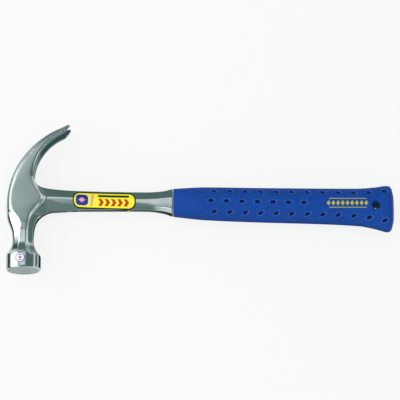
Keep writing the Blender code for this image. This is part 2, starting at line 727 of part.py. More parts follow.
def build() -> None:
    """Clear the scene and build the hammer."""
    for obj in list(bpy.data.objects):
        bpy.data.objects.remove(obj)
    parts = bpy.data.collections.new("curved_claw_hammer")
    cutters = bpy.data.collections.new("cutters")
    bpy.context.scene.collection.children.link(parts)
    bpy.context.scene.collection.children.link(cutters)

    hammer = bpy.data.objects.new("hammer", None)
    parts.objects.link(hammer)
    claw_level = back_arc(claw_tip_angle())[1]
    centre_x = 0.5 * OVERALL_LENGTH - CHEEK_BACK
    hammer.location = (-centre_x * MM, -0.5 * (claw_level + FACE_LEVEL) * MM, BELL_RADIUS * MM)

    forging = head_blank(parts, hammer)
    combine(forging, bell_envelope(cutters, hammer), "INTERSECT")
    combine(forging, shank(cutters, hammer), "UNION")
    eye_tang = tang("tang", 0.0, cutters, hammer)
    eye_centre = (HANG_HOLE_X, grip_centre(HANG_HOLE_X), 0.0)
    eye = add_cylinder("eye", EYE_RADIUS, 2.0 * TANG_HALF_THICKNESS, eye_centre, cutters, hammer)
    combine(eye_tang, eye, "DIFFERENCE")
    combine(forging, eye_tang, "UNION")
    combine(forging, nail_slot(cutters, hammer), "DIFFERENCE")

    handle = grip(parts, hammer)
    cavity = tang("tang_cavity", CLEARANCE, cutters, hammer)
    post_radius = EYE_RADIUS - CLEARANCE
    post = add_cylinder("eye_post", post_radius, 2.0 * TANG_HALF_THICKNESS, eye_centre, cutters, hammer)
    combine(cavity, post, "DIFFERENCE")
    combine(handle, cavity, "DIFFERENCE")
    hole_reach = 2.0 * GRIP_END_HALF_THICKNESS
    hole = add_cylinder("hang_hole", HANG_HOLE_RADIUS, hole_reach, eye_centre, cutters, hammer)
    combine(handle, hole, "DIFFERENCE")
    combine(handle, dimples(cutters, hammer), "DIFFERENCE")

    label = shank_label(parts, hammer)
    sticker = bell_sticker(parts, hammer)

    finish(forging, new_material("polished_steel", (0.56, 0.60, 0.58), 1.0, 0.25), 25.0)
    finish(handle, new_material("blue_vinyl", (0.02, 0.09, 0.42), 0.0, 0.45), 35.0)
    finish(label, new_material("label_film", (0.95, 0.78, 0.02), 0.0, 0.35), 35.0)
    finish(sticker, new_material("sticker_film", (0.85, 0.85, 0.88), 0.0, 0.35), 35.0)


build()
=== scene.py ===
"""Looks of a one-piece forged claw hammer with a moulded vinyl grip.

The meshes are made in the hammer's design frame, in millimetres: X runs along the handle from the axis of
the head, +Y points to the claw and Z runs across the width from the forging's parting plane. Each finished
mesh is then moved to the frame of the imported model, in metres.
"""

import logging
import math
from collections.abc import Callable, Sequence
from dataclasses import astuple, dataclass
from enum import Enum, IntEnum

import bmesh
import bpy
import numpy as np
from bpy.types import ID, Material, Mesh, Node, NodeSocket, NodeTree, Object, bpy_prop_collection
from mathutils import Euler, Matrix, Vector


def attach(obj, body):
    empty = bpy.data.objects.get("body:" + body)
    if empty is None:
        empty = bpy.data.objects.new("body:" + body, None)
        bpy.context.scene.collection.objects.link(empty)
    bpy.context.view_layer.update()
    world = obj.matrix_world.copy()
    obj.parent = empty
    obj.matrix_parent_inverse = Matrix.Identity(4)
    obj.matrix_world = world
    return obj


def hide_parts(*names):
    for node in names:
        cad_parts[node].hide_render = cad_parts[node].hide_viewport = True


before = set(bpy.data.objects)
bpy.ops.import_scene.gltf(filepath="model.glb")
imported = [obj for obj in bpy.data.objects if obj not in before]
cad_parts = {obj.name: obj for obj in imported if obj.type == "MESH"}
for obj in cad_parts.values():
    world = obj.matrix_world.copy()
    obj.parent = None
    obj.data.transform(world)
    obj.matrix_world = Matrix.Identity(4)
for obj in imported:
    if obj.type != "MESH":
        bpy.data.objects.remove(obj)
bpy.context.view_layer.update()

MM = 0.001
BODY = "root"
LOG = logging.getLogger("claw_hammer")

# Most values of a noise texture lie in this range
NOISE_SPAN = {"From Min": 0.3, "From Max": 0.7}

Corner = tuple[float, float]
Point = tuple[float, float, float]
Outline = list[Corner]
SurfacePoint = Callable[[float, float, float], Point]


class Slot(Enum):
    """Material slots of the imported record."""

    STEEL = "forged_steel"
    VINYL = "grip_vinyl"
    LABEL = "label_film"
    STICKER = "sticker_film"


class Grain(Enum):
    """How a steel surface was finished, which sets the way its fine grain runs."""

    BLASTED = (1.0, 1.0, 1.0)
    GROUND = (0.06, 1.0, 1.0)
    TURNED = (0.05, 1.0, 0.05)


class Region(IntEnum):
    """Parts of the forging by finish, in the order of its materials."""

    BODY = 0
    GROUND = 1
    TURNED = 2
    SCALED = 3


def to_linear(colour: str) -> tuple[float, float, float, float]:
    """Turn an sRGB hex colour into linear RGBA.

    Args:
        colour: six hex digits after a hash sign.

    Returns:
        Linear red, green, blue and an alpha of one.
    """
    shares = [int(colour[i:i + 2], 16) / 255.0 for i in (1, 3, 5)]
    linear = [s / 12.92 if s <= 0.04045 else ((s + 0.055) / 1.055) ** 2.4 for s in shares]
    return linear[0], linear[1], linear[2], 1.0


def add_node(tree: NodeTree, kind: str, inputs: dict | None = None, **settings) -> Node:
    """Add a shader node with its settings, values and links.

    Args:
        tree: the node tree.
        kind: the node's type name, without the ShaderNode that they all start with.
        inputs: socket name or index to a value, or to the output socket that feeds it, or to the node
            whose first output does.
        **settings: attributes of the node.

    Returns:
        The new node.
    """
    node = tree.nodes.new("ShaderNode" + kind)
    for key, value in settings.items():
        setattr(node, key, value)
    for key, value in (inputs or {}).items():
        source = value.outputs[0] if isinstance(value, Node) else value
        if isinstance(source, NodeSocket):
            tree.links.new(source, node.inputs[key])
        else:
            node.inputs[key].default_value = source
    return node


def new_material(name: str) -> tuple[Material, NodeTree]:
    """Make a material with an empty tree.

    Args:
        name: the material's name.

    Returns:
        The material and its tree.
    """
    material = bpy.data.materials.new(name)
    material.use_nodes = True
    material.node_tree.nodes.clear()
    return material, material.node_tree


@dataclass(frozen=True)
class SmoothLine:
    """A smooth line through (place, value) pairs that never overshoots them."""

    knots: tuple[tuple[float, float], ...]

    def at(self, places: np.ndarray | float) -> np.ndarray | float:
        """Return the line's value at each place.

        Args:
            places: one place or an array of them.

        Returns:
            The values, in the shape of the places.
        """
        x, y = np.array(self.knots, dtype=float).T
        steps = np.diff(x)
        chords = np.diff(y) / steps
        slopes = np.zeros(len(x))
        slopes[0], slopes[-1] = chords[0], chords[-1]
        for i in range(1, len(x) - 1):
            if chords[i - 1] * chords[i] > 0.0:
                before = 2.0 * steps[i] + steps[i - 1]
                after = steps[i] + 2.0 * steps[i - 1]
                slopes[i] = (before + after) / (before / chords[i - 1] + after / chords[i])
        i = np.clip(np.searchsorted(x, places) - 1, 0, len(steps) - 1)
        t = (places - x[i]) / steps[i]
        rise = (1.0 + 2.0 * t) * (1.0 - t) ** 2 * y[i] + t * t * (3.0 - 2.0 * t) * y[i + 1]
        lean = t * (1.0 - t) ** 2 * slopes[i] - t * t * (1.0 - t) * slopes[i + 1]
        return rise + lean * steps[i]


def blend(first: float, last: float, share: float) -> float:
    """Return the value at a share of the way from the first to the last."""
    return first + (last - first) * share


def ease(first: float, last: float, value: float) -> float:
    """Return a smooth share, 0 before the first value and 1 after the last."""
    share = min(max((value - first) / (last - first), 0.0), 1.0)
    return share * share * (3.0 - 2.0 * share)


def ramp(values: np.ndarray, start: float, run: float) -> np.ndarray:
    """Return shares that rise from 0 at the start to 1 at the end of the run."""
    return np.clip((values - start) / run, 0.0, 1.0)


def resample(points: Sequence[Corner], steps: int, smoothness: float) -> np.ndarray:
    """Divide the runs between a row of corners, as straight runs, as a smooth curve or as a mix of both.

    Args:
        points: the corners, which are kept.
        steps: how many steps each run is divided into.
        smoothness: 0 for straight runs, 1 for the smooth curve.

    Returns:
        The points, one row each.
    """
    corners = np.array(points, dtype=float)
    runs = np.linalg.norm(np.diff(corners, axis=0), axis=1)
    travelled = np.concatenate(([0.0], np.cumsum(np.maximum(runs, 1e-4))))
    samples = np.interp(np.arange(len(runs) * steps + 1) / steps, np.arange(len(corners)), travelled)
    columns = []
    for column in corners.T:
        straight = np.interp(samples, travelled, column)
        curved = SmoothLine(tuple(zip(travelled, column))).at(samples)
        columns.append(straight + (curved - straight) * smoothness)
    return np.stack(columns, axis=1)


def mirrored_ring(half: np.ndarray) -> np.ndarray:
    """Close a half ring, which starts and ends on the parting plane, by its mirror image."""
    return np.vstack((half, half[-2:0:-1] * (1.0, 1.0, -1.0)))


def linked(name: str, data: ID) -> Object:
    """Make an object of its data and put it in the scene.

    Args:
        name: the object's name.
        data: its mesh, lamp or camera.

    Returns:
        The object.
    """
    item = bpy.data.objects.new(name, data)
    bpy.context.scene.collection.objects.link(item)
    return item


def turn_to(direction: Sequence[float]) -> Euler:
    """Return the turn that points an object's Z axis in a direction."""
    return Vector(direction).to_track_quat("Z", "Y").to_euler()


def closed_mesh(name: str, points: Sequence[Point], faces: Sequence[tuple[int, ...]]) -> Mesh:
    """Make a mesh of closed shells with all faces turned outwards.

    Args:
        name: the mesh's name.
        points: the corners.
        faces: the corners' indices, face by face.

    Returns:
        The mesh.
    """
    mesh = bpy.data.meshes.new(name)
    mesh.from_pydata(points, [], faces)
    builder = bmesh.new()
    builder.from_mesh(mesh)
    bmesh.ops.recalc_face_normals(builder, faces=builder.faces)
    builder.to_mesh(mesh)
    builder.free()
    return mesh


def loft_mesh(name: str, rings: Sequence[np.ndarray]) -> Mesh:
    """Skin a row of closed rings of equal count and cap both ends.

    Args:
        name: the mesh's name.
        rings: arrays of points, one row per point.

    Returns:
        A closed mesh.
    """
    count = len(rings[0])
    faces = []
    for row in range(len(rings) - 1):
        for i in range(count):
            j = (i + 1) % count
            near, far = row * count, (row + 1) * count
            faces.append((near + i, near + j, far + j, far + i))
    last = (len(rings) - 1) * count
    faces.append(tuple(range(count)))
    faces.append(tuple(range(last, last + count)))
    return closed_mesh(name, np.vstack(rings).tolist(), faces)


def turned_mesh(name: str, profile: Sequence[Corner], sides: int, axis: int = 1,
                centre: Point = (0.0, 0.0, 0.0)) -> Mesh:
    """Turn a profile about an axis.

    Args:
        name: the mesh's name.
        profile: radius and level of each ring.
        sides: points on each ring.
        axis: 1 for Y, the head's axis, or 2 for Z.
        centre: a point that the axis runs through, where the levels start.

    Returns:
        A closed mesh.
    """
    turns = np.linspace(0.0, 2.0 * math.pi, sides, endpoint=False)
    circle = np.stack((np.cos(turns), np.sin(turns)), axis=1)
    rings = [np.insert(radius * circle, axis, level, axis=1) + centre for radius, level in profile]
    return loft_mesh(name, rings)


def evaluated(mesh: Mesh, kind: str, **settings) -> Mesh:
    """Run one modifier on a mesh.

    Args:
        mesh: the mesh, which is used up.
        kind: the modifier's type name.
        **settings: attributes of the modifier.

    Returns:
        The mesh that the modifier makes.
    """
    carrier = linked("bench", mesh)
    modifier = carrier.modifiers.new(kind, kind)
    for key, value in settings.items():
        setattr(modifier, key, value)
    graph = bpy.context.evaluated_depsgraph_get()
    result = bpy.data.meshes.new_from_object(carrier.evaluated_get(graph))
    bpy.data.objects.remove(carrier)
    bpy.data.meshes.remove(mesh)
    return result


def cut(mesh: Mesh, tool: Mesh, operation: str) -> Mesh:
    """Run a Boolean on two meshes, which are used up.

    Args:
        mesh: the mesh that is worked.
        tool: the mesh that works it.
        operation: DIFFERENCE or INTERSECT.

    Returns:
        The worked mesh.
    """
    holder = linked("tool", tool)
    result = evaluated(mesh, "BOOLEAN", operation=operation, solver="EXACT", object=holder)
    bpy.data.objects.remove(holder)
    bpy.data.meshes.remove(tool)
    return result


def joined(meshes: Sequence[Mesh]) -> Mesh:
    """Put several meshes, which are used up, into one.

    Args:
        meshes: the meshes.

    Returns:
        One mesh of all their shells.
    """
    builder = bmesh.new()
    for mesh in meshes:
        builder.from_mesh(mesh)
        bpy.data.meshes.remove(mesh)
    result = bpy.data.meshes.new("joined")
    builder.to_mesh(result)
    builder.free()
    return result


def vectors_of(items: bpy_prop_collection, name: str) -> np.ndarray:
    """Read one vector of each point or face of a mesh.

    Args:
        items: the mesh's points or faces.
        name: which of their vectors.

    Returns:
        The vectors, one row each.
    """
    flat = np.empty(len(items) * 3)
    items.foreach_get(name, flat)
    return flat.reshape(-1, 3)


def store_values(mesh: Mesh, name: str, values: np.ndarray) -> None:
    """Store one value for each point, which a finish reads by its name."""
    mesh.attributes.new(name, "FLOAT", "POINT").data.foreach_set("value", values.astype(np.float32))


def relax(mesh: Mesh, rounds: int, stride: float = 0.5) -> None:
    """Ease each point towards its neighbours' middle, as tumbling and polishing do to edges.

    Args:
        mesh: the mesh, which is changed.
        rounds: how many times.
        stride: the share of the way in each round.
    """
    points = vectors_of(mesh.vertices, "co")
    ends = np.empty(len(mesh.edges) * 2, dtype=np.int64)
    mesh.edges.foreach_get("vertices", ends)
    first, last = ends.reshape(-1, 2).T
    count = len(points)
    degree = np.bincount(ends, minlength=count)[:, None]
    for _ in range(rounds):
        sums = [np.bincount(first, column[last], count) + np.bincount(last, column[first], count)
                for column in points.T]
        points += (np.stack(sums, axis=1) / degree - points) * stride
    mesh.vertices.foreach_set("co", points.ravel())
    mesh.update()


def moulded(mesh: Mesh, voxel: float, rounds: int) -> Mesh:
    """Remesh a mesh evenly and ease its edges.

    Args:
        mesh: one or more overlapping closed shells, used up.
        voxel: the spacing of the new points in millimetres.
        rounds: how often the edges are eased.

    Returns:
        One closed mesh of even quads.
    """
    result = evaluated(mesh, "REMESH", mode="VOXEL", voxel_size=voxel)
    relax(result, rounds)
    return result


@dataclass(frozen=True)
class HammerFrame:
    """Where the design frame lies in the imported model, in millimetres."""

    overall_length: float = 330.0
    cheek_back: float = 15.0
    face_level: float = -61.0
    claw_level: float = 66.22
    bell_radius: float = 14.7

    def matrix(self) -> Matrix:
        """Work out the move from design millimetres to the model's metres.

        Returns:
            The matrix that every mesh is moved by.
        """
        along = self.cheek_back - 0.5 * self.overall_length
        up = -0.5 * (self.claw_level + self.face_level)
        return Matrix.Scale(MM, 4) @ Matrix.Translation((along, up, self.bell_radius))


FRAME = HammerFrame()


def show_piece(name: str, mesh: Mesh, materials: Sequence[Material], slot: Slot,
               node: str | None = None) -> None:
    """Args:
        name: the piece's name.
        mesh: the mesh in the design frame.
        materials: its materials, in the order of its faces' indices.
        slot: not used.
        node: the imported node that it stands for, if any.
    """
    mesh.transform(FRAME.matrix())
    mesh.name = name
    for material in materials:
        mesh.materials.append(material)
    mesh.shade_smooth()
    piece = linked(name, mesh)
    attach(piece, BODY)
    if node:
        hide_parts(node)
    LOG.info("%s: %d points, %d faces", name, len(mesh.vertices), len(mesh.polygons))


@dataclass(frozen=True)
class SteelFinish:
    """Tool steel, drop forged and then blasted, buffed, ground or turned.

    The colour is a cool grey. The grain breaks up the reflections, and slow clouds in the tone are what
    uneven pressure on the polishing wheel leaves. Where the mesh's buff value is 1 the grain is polished
    away: the steel turns lighter and its reflections sharp.
    """

    name: str
    colour: str
    buffed_colour: str
    roughness: float
    buffed_roughness: float
    grain: Grain
    grain_mm: float
    grain_depth_mm: float
    cloud_tint: str = "#DEE8EA"
    cloud_mm: float = 14.0
    uneven: float = 0.15
    buffed_depth: float = 0.2

    def material(self) -> Material:
        """Build the nodes of the finish.

        Returns:
            The material, which reads the mesh's buff value.
        """
        material, tree = new_material(self.name)
        place = add_node(tree, "TexCoord").outputs["Object"]
        # Grit and wheels leave marks of about 0.1 mm, finer than the render shows, so they are drawn coarser
        scale = [share / (self.grain_mm * MM) for share in self.grain.value]
        along = add_node(tree, "Mapping", {"Vector": place, "Scale": scale})
        grain = add_node(tree, "TexNoise", {"Vector": along, "Scale": 1.0, "Detail": 2.0})
        spacing = self.cloud_mm * MM
        clouds = add_node(tree, "TexNoise", {"Vector": place, "Scale": 1.0 / spacing, "Detail": 2.0})
        buff = add_node(tree, "Attribute", attribute_name="buff").outputs["Fac"]
        tones = {0: buff, 6: to_linear(self.colour), 7: to_linear(self.buffed_colour)}
        tone = add_node(tree, "Mix", tones, data_type="RGBA")
        tints = {0: clouds, 6: tone.outputs[2], 7: to_linear(self.cloud_tint)}
        clouded = add_node(tree, "Mix", tints, data_type="RGBA", blend_type="MULTIPLY")
        level = add_node(tree, "MapRange",
                         {"Value": buff, "To Min": self.roughness, "To Max": self.buffed_roughness})
        spread = add_node(tree, "MapRange", {"Value": grain, **NOISE_SPAN, "To Min": 1.0 - self.uneven,
                                             "To Max": 1.0 + self.uneven})
        rough = add_node(tree, "Math", {0: level, 1: spread}, operation="MULTIPLY")
        depth = add_node(tree, "MapRange", {"Value": buff, "To Min": 1.0, "To Max": self.buffed_depth})
        bump = add_node(tree, "Bump",
                        {"Height": grain, "Strength": depth, "Distance": self.grain_depth_mm * MM})
        shader = add_node(tree, "BsdfPrincipled", {"Base Color": clouded.outputs[2], "Metallic": 1.0,
                                                   "Roughness": rough, "Normal": bump})
        add_node(tree, "OutputMaterial", {"Surface": shader})
        return material


@dataclass(frozen=True)
class VinylFinish:
    """Moulded soft vinyl, pigmented right through.

    It is matt, with a faint mottle where the pigment flowed and a fine leather-like skin from the mould. Its
    colour is darkened in the dimples as painted shade and lightened on their rims as a painted highlight.
    """

    name: str = "moulded_blue_vinyl"
    colour: str = "#083E94"
    mottle_colour: str = "#0E4CA6"
    # The next two colours are painted light: painted shade in the dimples and a painted highlight on their
    # rims
    pit_shade_colour: str = "#000E50"
    rim_highlight_colour: str = "#4C7CC8"
    roughness: float = 0.58
    uneven: float = 0.06
    ior: float = 1.38
    specular: float = 0.32
    mottle_mm: float = 3.2
    skin_mm: float = 0.55
    skin_depth_mm: float = 0.03

    def material(self) -> Material:
        """Build the nodes of the finish.

        Returns:
            The material, which reads the mesh's values of painted shade in the dimples and painted highlight
            on their rims.
        """
        material, tree = new_material(self.name)
        place = add_node(tree, "TexCoord").outputs["Object"]
        spacing = self.mottle_mm * MM
        mottle = add_node(tree, "TexNoise",
                          {"Vector": place, "Scale": 1.0 / spacing, "Detail": 4.0, "Roughness": 0.6})
        flow = add_node(tree, "MapRange", {"Value": mottle, **NOISE_SPAN}).outputs[0]
        rim_highlight, pit_shade = (add_node(tree, "Attribute", attribute_name=name).outputs["Fac"]
                     for name in ("rim_highlight", "pit_shade"))
        colour: tuple | NodeSocket = to_linear(self.colour)
        # Mix in the mottle, then the painted highlight on the dimples' rims and the painted shade in the
        # dimples
        for share, over in ((flow, self.mottle_colour), (rim_highlight, self.rim_highlight_colour), (pit_shade, self.pit_shade_colour)):
            tones = {0: share, 6: colour, 7: to_linear(over)}
            colour = add_node(tree, "Mix", tones, data_type="RGBA").outputs[2]
        # The mould's skin is finer than the render shows at its real 0.2 mm, so it is drawn coarser
        skin = add_node(tree, "TexVoronoi", {"Vector": place, "Scale": 1.0 / (self.skin_mm * MM)})
        bump = add_node(tree, "Bump", {"Height": skin.outputs["Distance"], "Strength": 1.0,
                                       "Distance": self.skin_depth_mm * MM})
        rough = add_node(tree, "MapRange", {"Value": mottle, "To Min": self.roughness - self.uneven,
                                            "To Max": self.roughness + self.uneven})
        shader = add_node(tree, "BsdfPrincipled",
                          {"Base Color": colour, "Roughness": rough, "IOR": self.ior,
                           "Specular IOR Level": self.specular, "Normal": bump})
        add_node(tree, "OutputMaterial", {"Surface": shader})
        return material


@dataclass(frozen=True)
class InkFinish:
    """Screen ink on polyester film, under a gloss laminate.

    The ink lies a little unevenly, as it does through a screen's threads, and the laminate gives it a
    clear sheen.
    """

    name: str
    colour: str
    thin_colour: str
    roughness: float = 0.32
    uneven: float = 0.08
    pattern_mm: float = 0.5
    ior: float = 1.5

    def gloss(self) -> dict[str, float]:
        """Return what sets the layer's gloss apart: a laminate's refraction."""
        return {"IOR": self.ior}

    def material(self) -> Material:
        """Build the nodes of the finish.

        Returns:
            The material.
        """
        material, tree = new_material(self.name)
        place = add_node(tree, "TexCoord").outputs["Object"]
        # Threads and skin lie 0.1 to 0.2 mm apart, finer than the render shows, so they are drawn coarser
        spacing = self.pattern_mm * MM
        pattern = add_node(tree, "TexNoise", {"Vector": place, "Scale": 1.0 / spacing, "Detail": 3.0})
        tones = {0: pattern, 6: to_linear(self.colour), 7: to_linear(self.thin_colour)}
        colour = add_node(tree, "Mix", tones, data_type="RGBA")
        rough = add_node(tree, "MapRange", {"Value": pattern, "To Min": self.roughness - self.uneven,
                                            "To Max": self.roughness + self.uneven})
        shader = add_node(tree, "BsdfPrincipled",
                          {"Base Color": colour.outputs[2], "Roughness": rough, **self.gloss()})
        add_node(tree, "OutputMaterial", {"Surface": shader})
        return material


@dataclass(frozen=True)
class FoilFinish(InkFinish):
    """Hot-stamped foil: a thin yellow metal layer that takes on the skin of the vinyl under it."""

    name: str = "hot_stamped_foil"
    colour: str = "#EADF52"
    thin_colour: str = "#B8B03A"
    roughness: float = 0.42
    uneven: float = 0.1
    pattern_mm: float = 0.8
    metallic: float = 0.6

    def gloss(self) -> dict[str, float]:
        """Return what sets the layer's gloss apart: its thin metal."""
        return {"Metallic": self.metallic}


@dataclass(frozen=True)
class HeadSection:
    """One level of the head below the claw: where each crease of one side crosses it.

    Names with _in are distances in from the back line of the claw and cheek, names with _x are distances
    along the handle, and names with _z are heights above the parting plane.
    """

    level: float
    back_in: float
    hollow_back_in: float
    hollow_back_z: float
    hollow_front_in: float
    hollow_front_z: float
    side_back_x: float
    width_loss: float
    bevel_top_x: float
    bevel_foot_x: float
    bevel_foot_z: float
    front_edge_x: float
    front_edge_z: float
    front_x: float


PROW_SECTION = HeadSection(1.9, 0.0, 1.3, 7.6, 2.7, 9.8, -8.2, 0.3, 14.3, 19.4, 5.6, 19.6, 2.4, 19.6)
UPPER_SECTIONS = (
    HeadSection(19.0, 0.0, 1.2, 7.6, 2.6, 9.8, -5.0, 0.0, 6.8, 8.0, 10.4, 8.0, 5.0, 8.0),
    HeadSection(15.7, 0.0, 1.3, 7.6, 2.7, 9.8, -6.0, 0.1, 7.4, 9.4, 4.6, 9.6, 2.4, 9.6),
    HeadSection(10.7, 0.0, 1.3, 7.6, 2.7, 9.8, -7.2, 0.2, 9.6, 12.4, 4.8, 12.6, 2.4, 12.6),
    HeadSection(5.0, 0.0, 1.3, 7.6, 2.7, 9.8, -8.0, 0.3, 13.2, 16.9, 5.2, 17.1, 2.4, 17.1),
    PROW_SECTION,
)
LOWER_SECTIONS = (
    PROW_SECTION,
    HeadSection(-3.0, 0.0, 1.4, 7.6, 2.7, 9.8, -8.6, 0.3, 12.6, 15.4, 6.6, 20.4, 3.4, 21.0),
    HeadSection(-8.4, 0.0, 1.8, 7.6, 2.6, 9.2, -9.4, 0.4, 8.6, 10.7, 7.7, 16.4, 3.8, 17.2),
    HeadSection(-12.6, 0.2, 2.4, 6.8, 6.4, 9.8, -7.6, 0.6, 5.4, 7.5, 8.4, 14.6, 3.3, 15.0),
    HeadSection(-17.2, 1.0, 3.7, 5.8, 10.5, 10.0, -3.8, 0.9, 3.7, 5.8, 8.6, 11.4, 4.7, 11.8),
    HeadSection(-23.0, 3.2, 5.6, 5.0, 11.9, 9.4, -1.2, 1.5, 2.5, 4.8, 8.0, 9.0, 5.4, 9.6),
    HeadSection(-28.0, 4.8, 6.8, 4.6, 12.1, 8.9, 1.0, 2.0, 1.9, 4.4, 7.3, 8.2, 5.1, 8.9),
    HeadSection(-34.0, 5.3, 7.1, 4.5, 11.6, 8.7, 1.0, 2.2, 1.8, 4.3, 7.1, 8.0, 5.0, 8.5),
)


@dataclass(frozen=True)
class Head:
    """Claw with its nail slot, cheek, neck and bell, in millimetres.

    Names with _share are shares of the claw's thickness. The shoulder's run and rise are shares of the way to
    the hollow, and the starts of the blend and of the peak's shift are shares of the way from the tip to
    the root. Overruns and the slot's reach are multiples of the size that they extend.
    """

    back_radius: float = 71.5
    cheek_centre: float = -3.0
    claw_reach: float = 38.6
    root_depth: float = 8.0
    root_level: float = 19.0
    inner_radius: float = 43.0
    tip_thickness: float = 1.6
    tip_bevel: float = 4.8
    tip_half_width: float = 12.8
    root_half_width: float = 11.6
    spread_power: float = 1.5
    edge_chamfer: float = 1.9
    crown_depth: float = 6.5
    tip_corner_radius: float = 3.5
    side_crown: float = 0.5
    shoulder_run: float = 0.28
    shoulder_rise: float = 0.55
    side_corners: int = 7
    full_crown_width: float = 18.0
    chamfer_share: float = 0.4
    crown_depth_share: float = 0.5
    crown_share: float = 0.08
    crown_degrees: tuple[float, ...] = (0.0, 28.0, 50.0, 68.0)
    root_blend_start: float = 0.45
    peak_shift_start: float = 0.4
    facet_start_depth: float = 6.0
    facet_full_depth: float = 13.0
    slot_length: float = 30.0
    slot_mouth: float = 5.8
    slot_end_radius: float = 1.1
    slot_wall_angle: float = math.radians(33.0)
    slot_end_steps: int = 12
    slot_reach: float = 1.5
    slot_overrun: float = 2.0
    flare_start: float = -34.0
    flare_radius: float = 19.0
    flare_run: float = 18.0
    flare_overrun: float = 3.0
    face_chamfer: float = 1.2
    bell_sides: int = 256
    ring_steps: int = 5
    tip_crowding: float = 1.2
    claw_stations: int = 90
    upper_stations: int = 36
    lower_stations: int = 84
    flare_stations: int = 40

    def back_arc(self, angle: float) -> np.ndarray:
        """Return a point of the claw's back at an angle about the arc's centre."""
        centre = np.array((self.back_radius - FRAME.cheek_back, self.cheek_centre))
        return centre + self.back_radius * np.array((math.cos(angle), math.sin(angle)))

    def inner_arc(self, angle: float) -> np.ndarray:
        """Return a point of the claw's inside at an angle about the arc's centre."""
        return self.inner_centre() + self.inner_radius * np.array((math.cos(angle), math.sin(angle)))

    def inner_centre(self) -> np.ndarray:
        """Return the centre of the arc inside the claw."""
        return np.array((self.root_depth + self.inner_radius, self.root_level))

    def back_line(self, level: float) -> float:
        """Return where the back of the claw, and below its arc the straight cheek, crosses a level."""
        rise = max(level - self.cheek_centre, 0.0)
        return self.back_radius - FRAME.cheek_back - math.sqrt(self.back_radius ** 2 - rise ** 2)

    def tip_angle(self) -> float:
        """Return the angle of the back arc where it reaches the tip."""
        return math.acos((self.claw_reach + FRAME.cheek_back - self.back_radius) / self.back_radius)

    def side_points(self, start: float, end: float, half_width: float, crown: float, peak: float) -> Outline:
        """Return the slightly crowned side face, as (along, height) corners.

        Args:
            start: where the face starts.
            end: where it ends.
            half_width: its greatest height.
            crown: how much it falls towards its start.
            peak: the share of the way at which it is highest.

        Returns:
            The corners.
        """
        shares = np.linspace(0.0, 1.0, self.side_corners)
        falls = ((shares - peak) / max(peak, 1.0 - peak)) ** 2
        return [(blend(start, end, u), half_width - crown * fall) for u, fall in zip(shares, falls)]

    def half_ring(self, back: Outline, side: Outline, front: Outline, smoothness: float) -> np.ndarray:
        """Return a half section of steady count from its corners.

        Args:
            back: the corners from the back to the side face.
            side: the corners of the side face.
            front: the corners of the bevel and the front.
            smoothness: 0 for a back of flat facets, 1 for a rounded one.

        Returns:
            The points, as rows of along and height.
        """
        rounded = resample(back + side, self.ring_steps, smoothness)
        straight = resample([side[-1]] + front, self.ring_steps, 0.0)
        return np.vstack((rounded, straight[1:]))

    def back_corners(self, section: HeadSection) -> Outline:
        """Find the corners at the back of a section.

        Args:
            section: the section.

        Returns:
            Distance in from the back line and height of each corner.
        """
        shoulder = blend(section.back_in, section.hollow_back_in, self.shoulder_run)
        return [(section.back_in, 0.0), (shoulder, self.shoulder_rise * section.hollow_back_z),
                (section.hollow_back_in, section.hollow_back_z),
                (section.hollow_front_in, section.hollow_front_z)]

    def claw_ring(self, share: float) -> np.ndarray:
        """Find one section of the claw.

        Args:
            share: how far it lies from the tip towards the root.

        Returns:
            The closed ring.
        """
        tip_angle = self.tip_angle()
        root_angle = math.pi - math.asin((self.root_level - self.cheek_centre) / self.back_radius)
        back = self.back_arc(blend(tip_angle, root_angle, share))

        tip_inner = self.back_arc(tip_angle) - (0.0, self.tip_thickness)
        bevel_x = self.claw_reach - self.tip_bevel - self.inner_centre()[0]
        bevel_angle = math.acos(bevel_x / self.inner_radius)
        bevel_end = self.inner_arc(bevel_angle)
        bevel_length = float(np.linalg.norm(bevel_end - tip_inner))
        travelled = share * (bevel_length + self.inner_radius * (math.pi - bevel_angle))
        if travelled < bevel_length:
            inner = tip_inner + (bevel_end - tip_inner) * travelled / bevel_length
        else:
            inner = self.inner_arc(bevel_angle + (travelled - bevel_length) / self.inner_radius)

        thickness = float(np.linalg.norm(inner - back))
        half_width = blend(self.root_half_width, self.tip_half_width, (1.0 - share) ** self.spread_power)
        from_tip = share * self.back_radius * (root_angle - tip_angle)
        if from_tip < self.tip_corner_radius:
            lost = self.tip_corner_radius - from_tip
            half_width -= self.tip_corner_radius - math.sqrt(self.tip_corner_radius ** 2 - lost ** 2)
        chamfer = min(self.edge_chamfer, self.chamfer_share * thickness)
        depth = min(self.crown_depth, self.crown_depth_share * thickness)
        crown = min(self.side_crown, self.crown_share * thickness)

        turns = [math.radians(degrees) for degrees in self.crown_degrees]
        rounded = [(depth * (1.0 - math.cos(turn)), (half_width - crown) * math.sin(turn)) for turn in turns]
        rooted = ease(self.root_blend_start, 1.0, share)
        rounded = [(blend(corner[0], end[0], rooted), blend(corner[1], end[1], rooted))
                   for corner, end in zip(rounded, self.back_corners(UPPER_SECTIONS[0]))]
        peak = 1.0 - 0.5 * ease(self.peak_shift_start, 1.0, share)
        side = self.side_points(depth, thickness - chamfer, half_width, crown, peak)
        low = half_width - chamfer
        front = [(thickness, low), (thickness, 0.5 * low), (thickness, 0.0)]
        half = self.half_ring(rounded, side, front, 1.0)
        places = back + (inner - back) * half[:, :1] / thickness
        return mirrored_ring(np.hstack((places, half[:, 1:])))

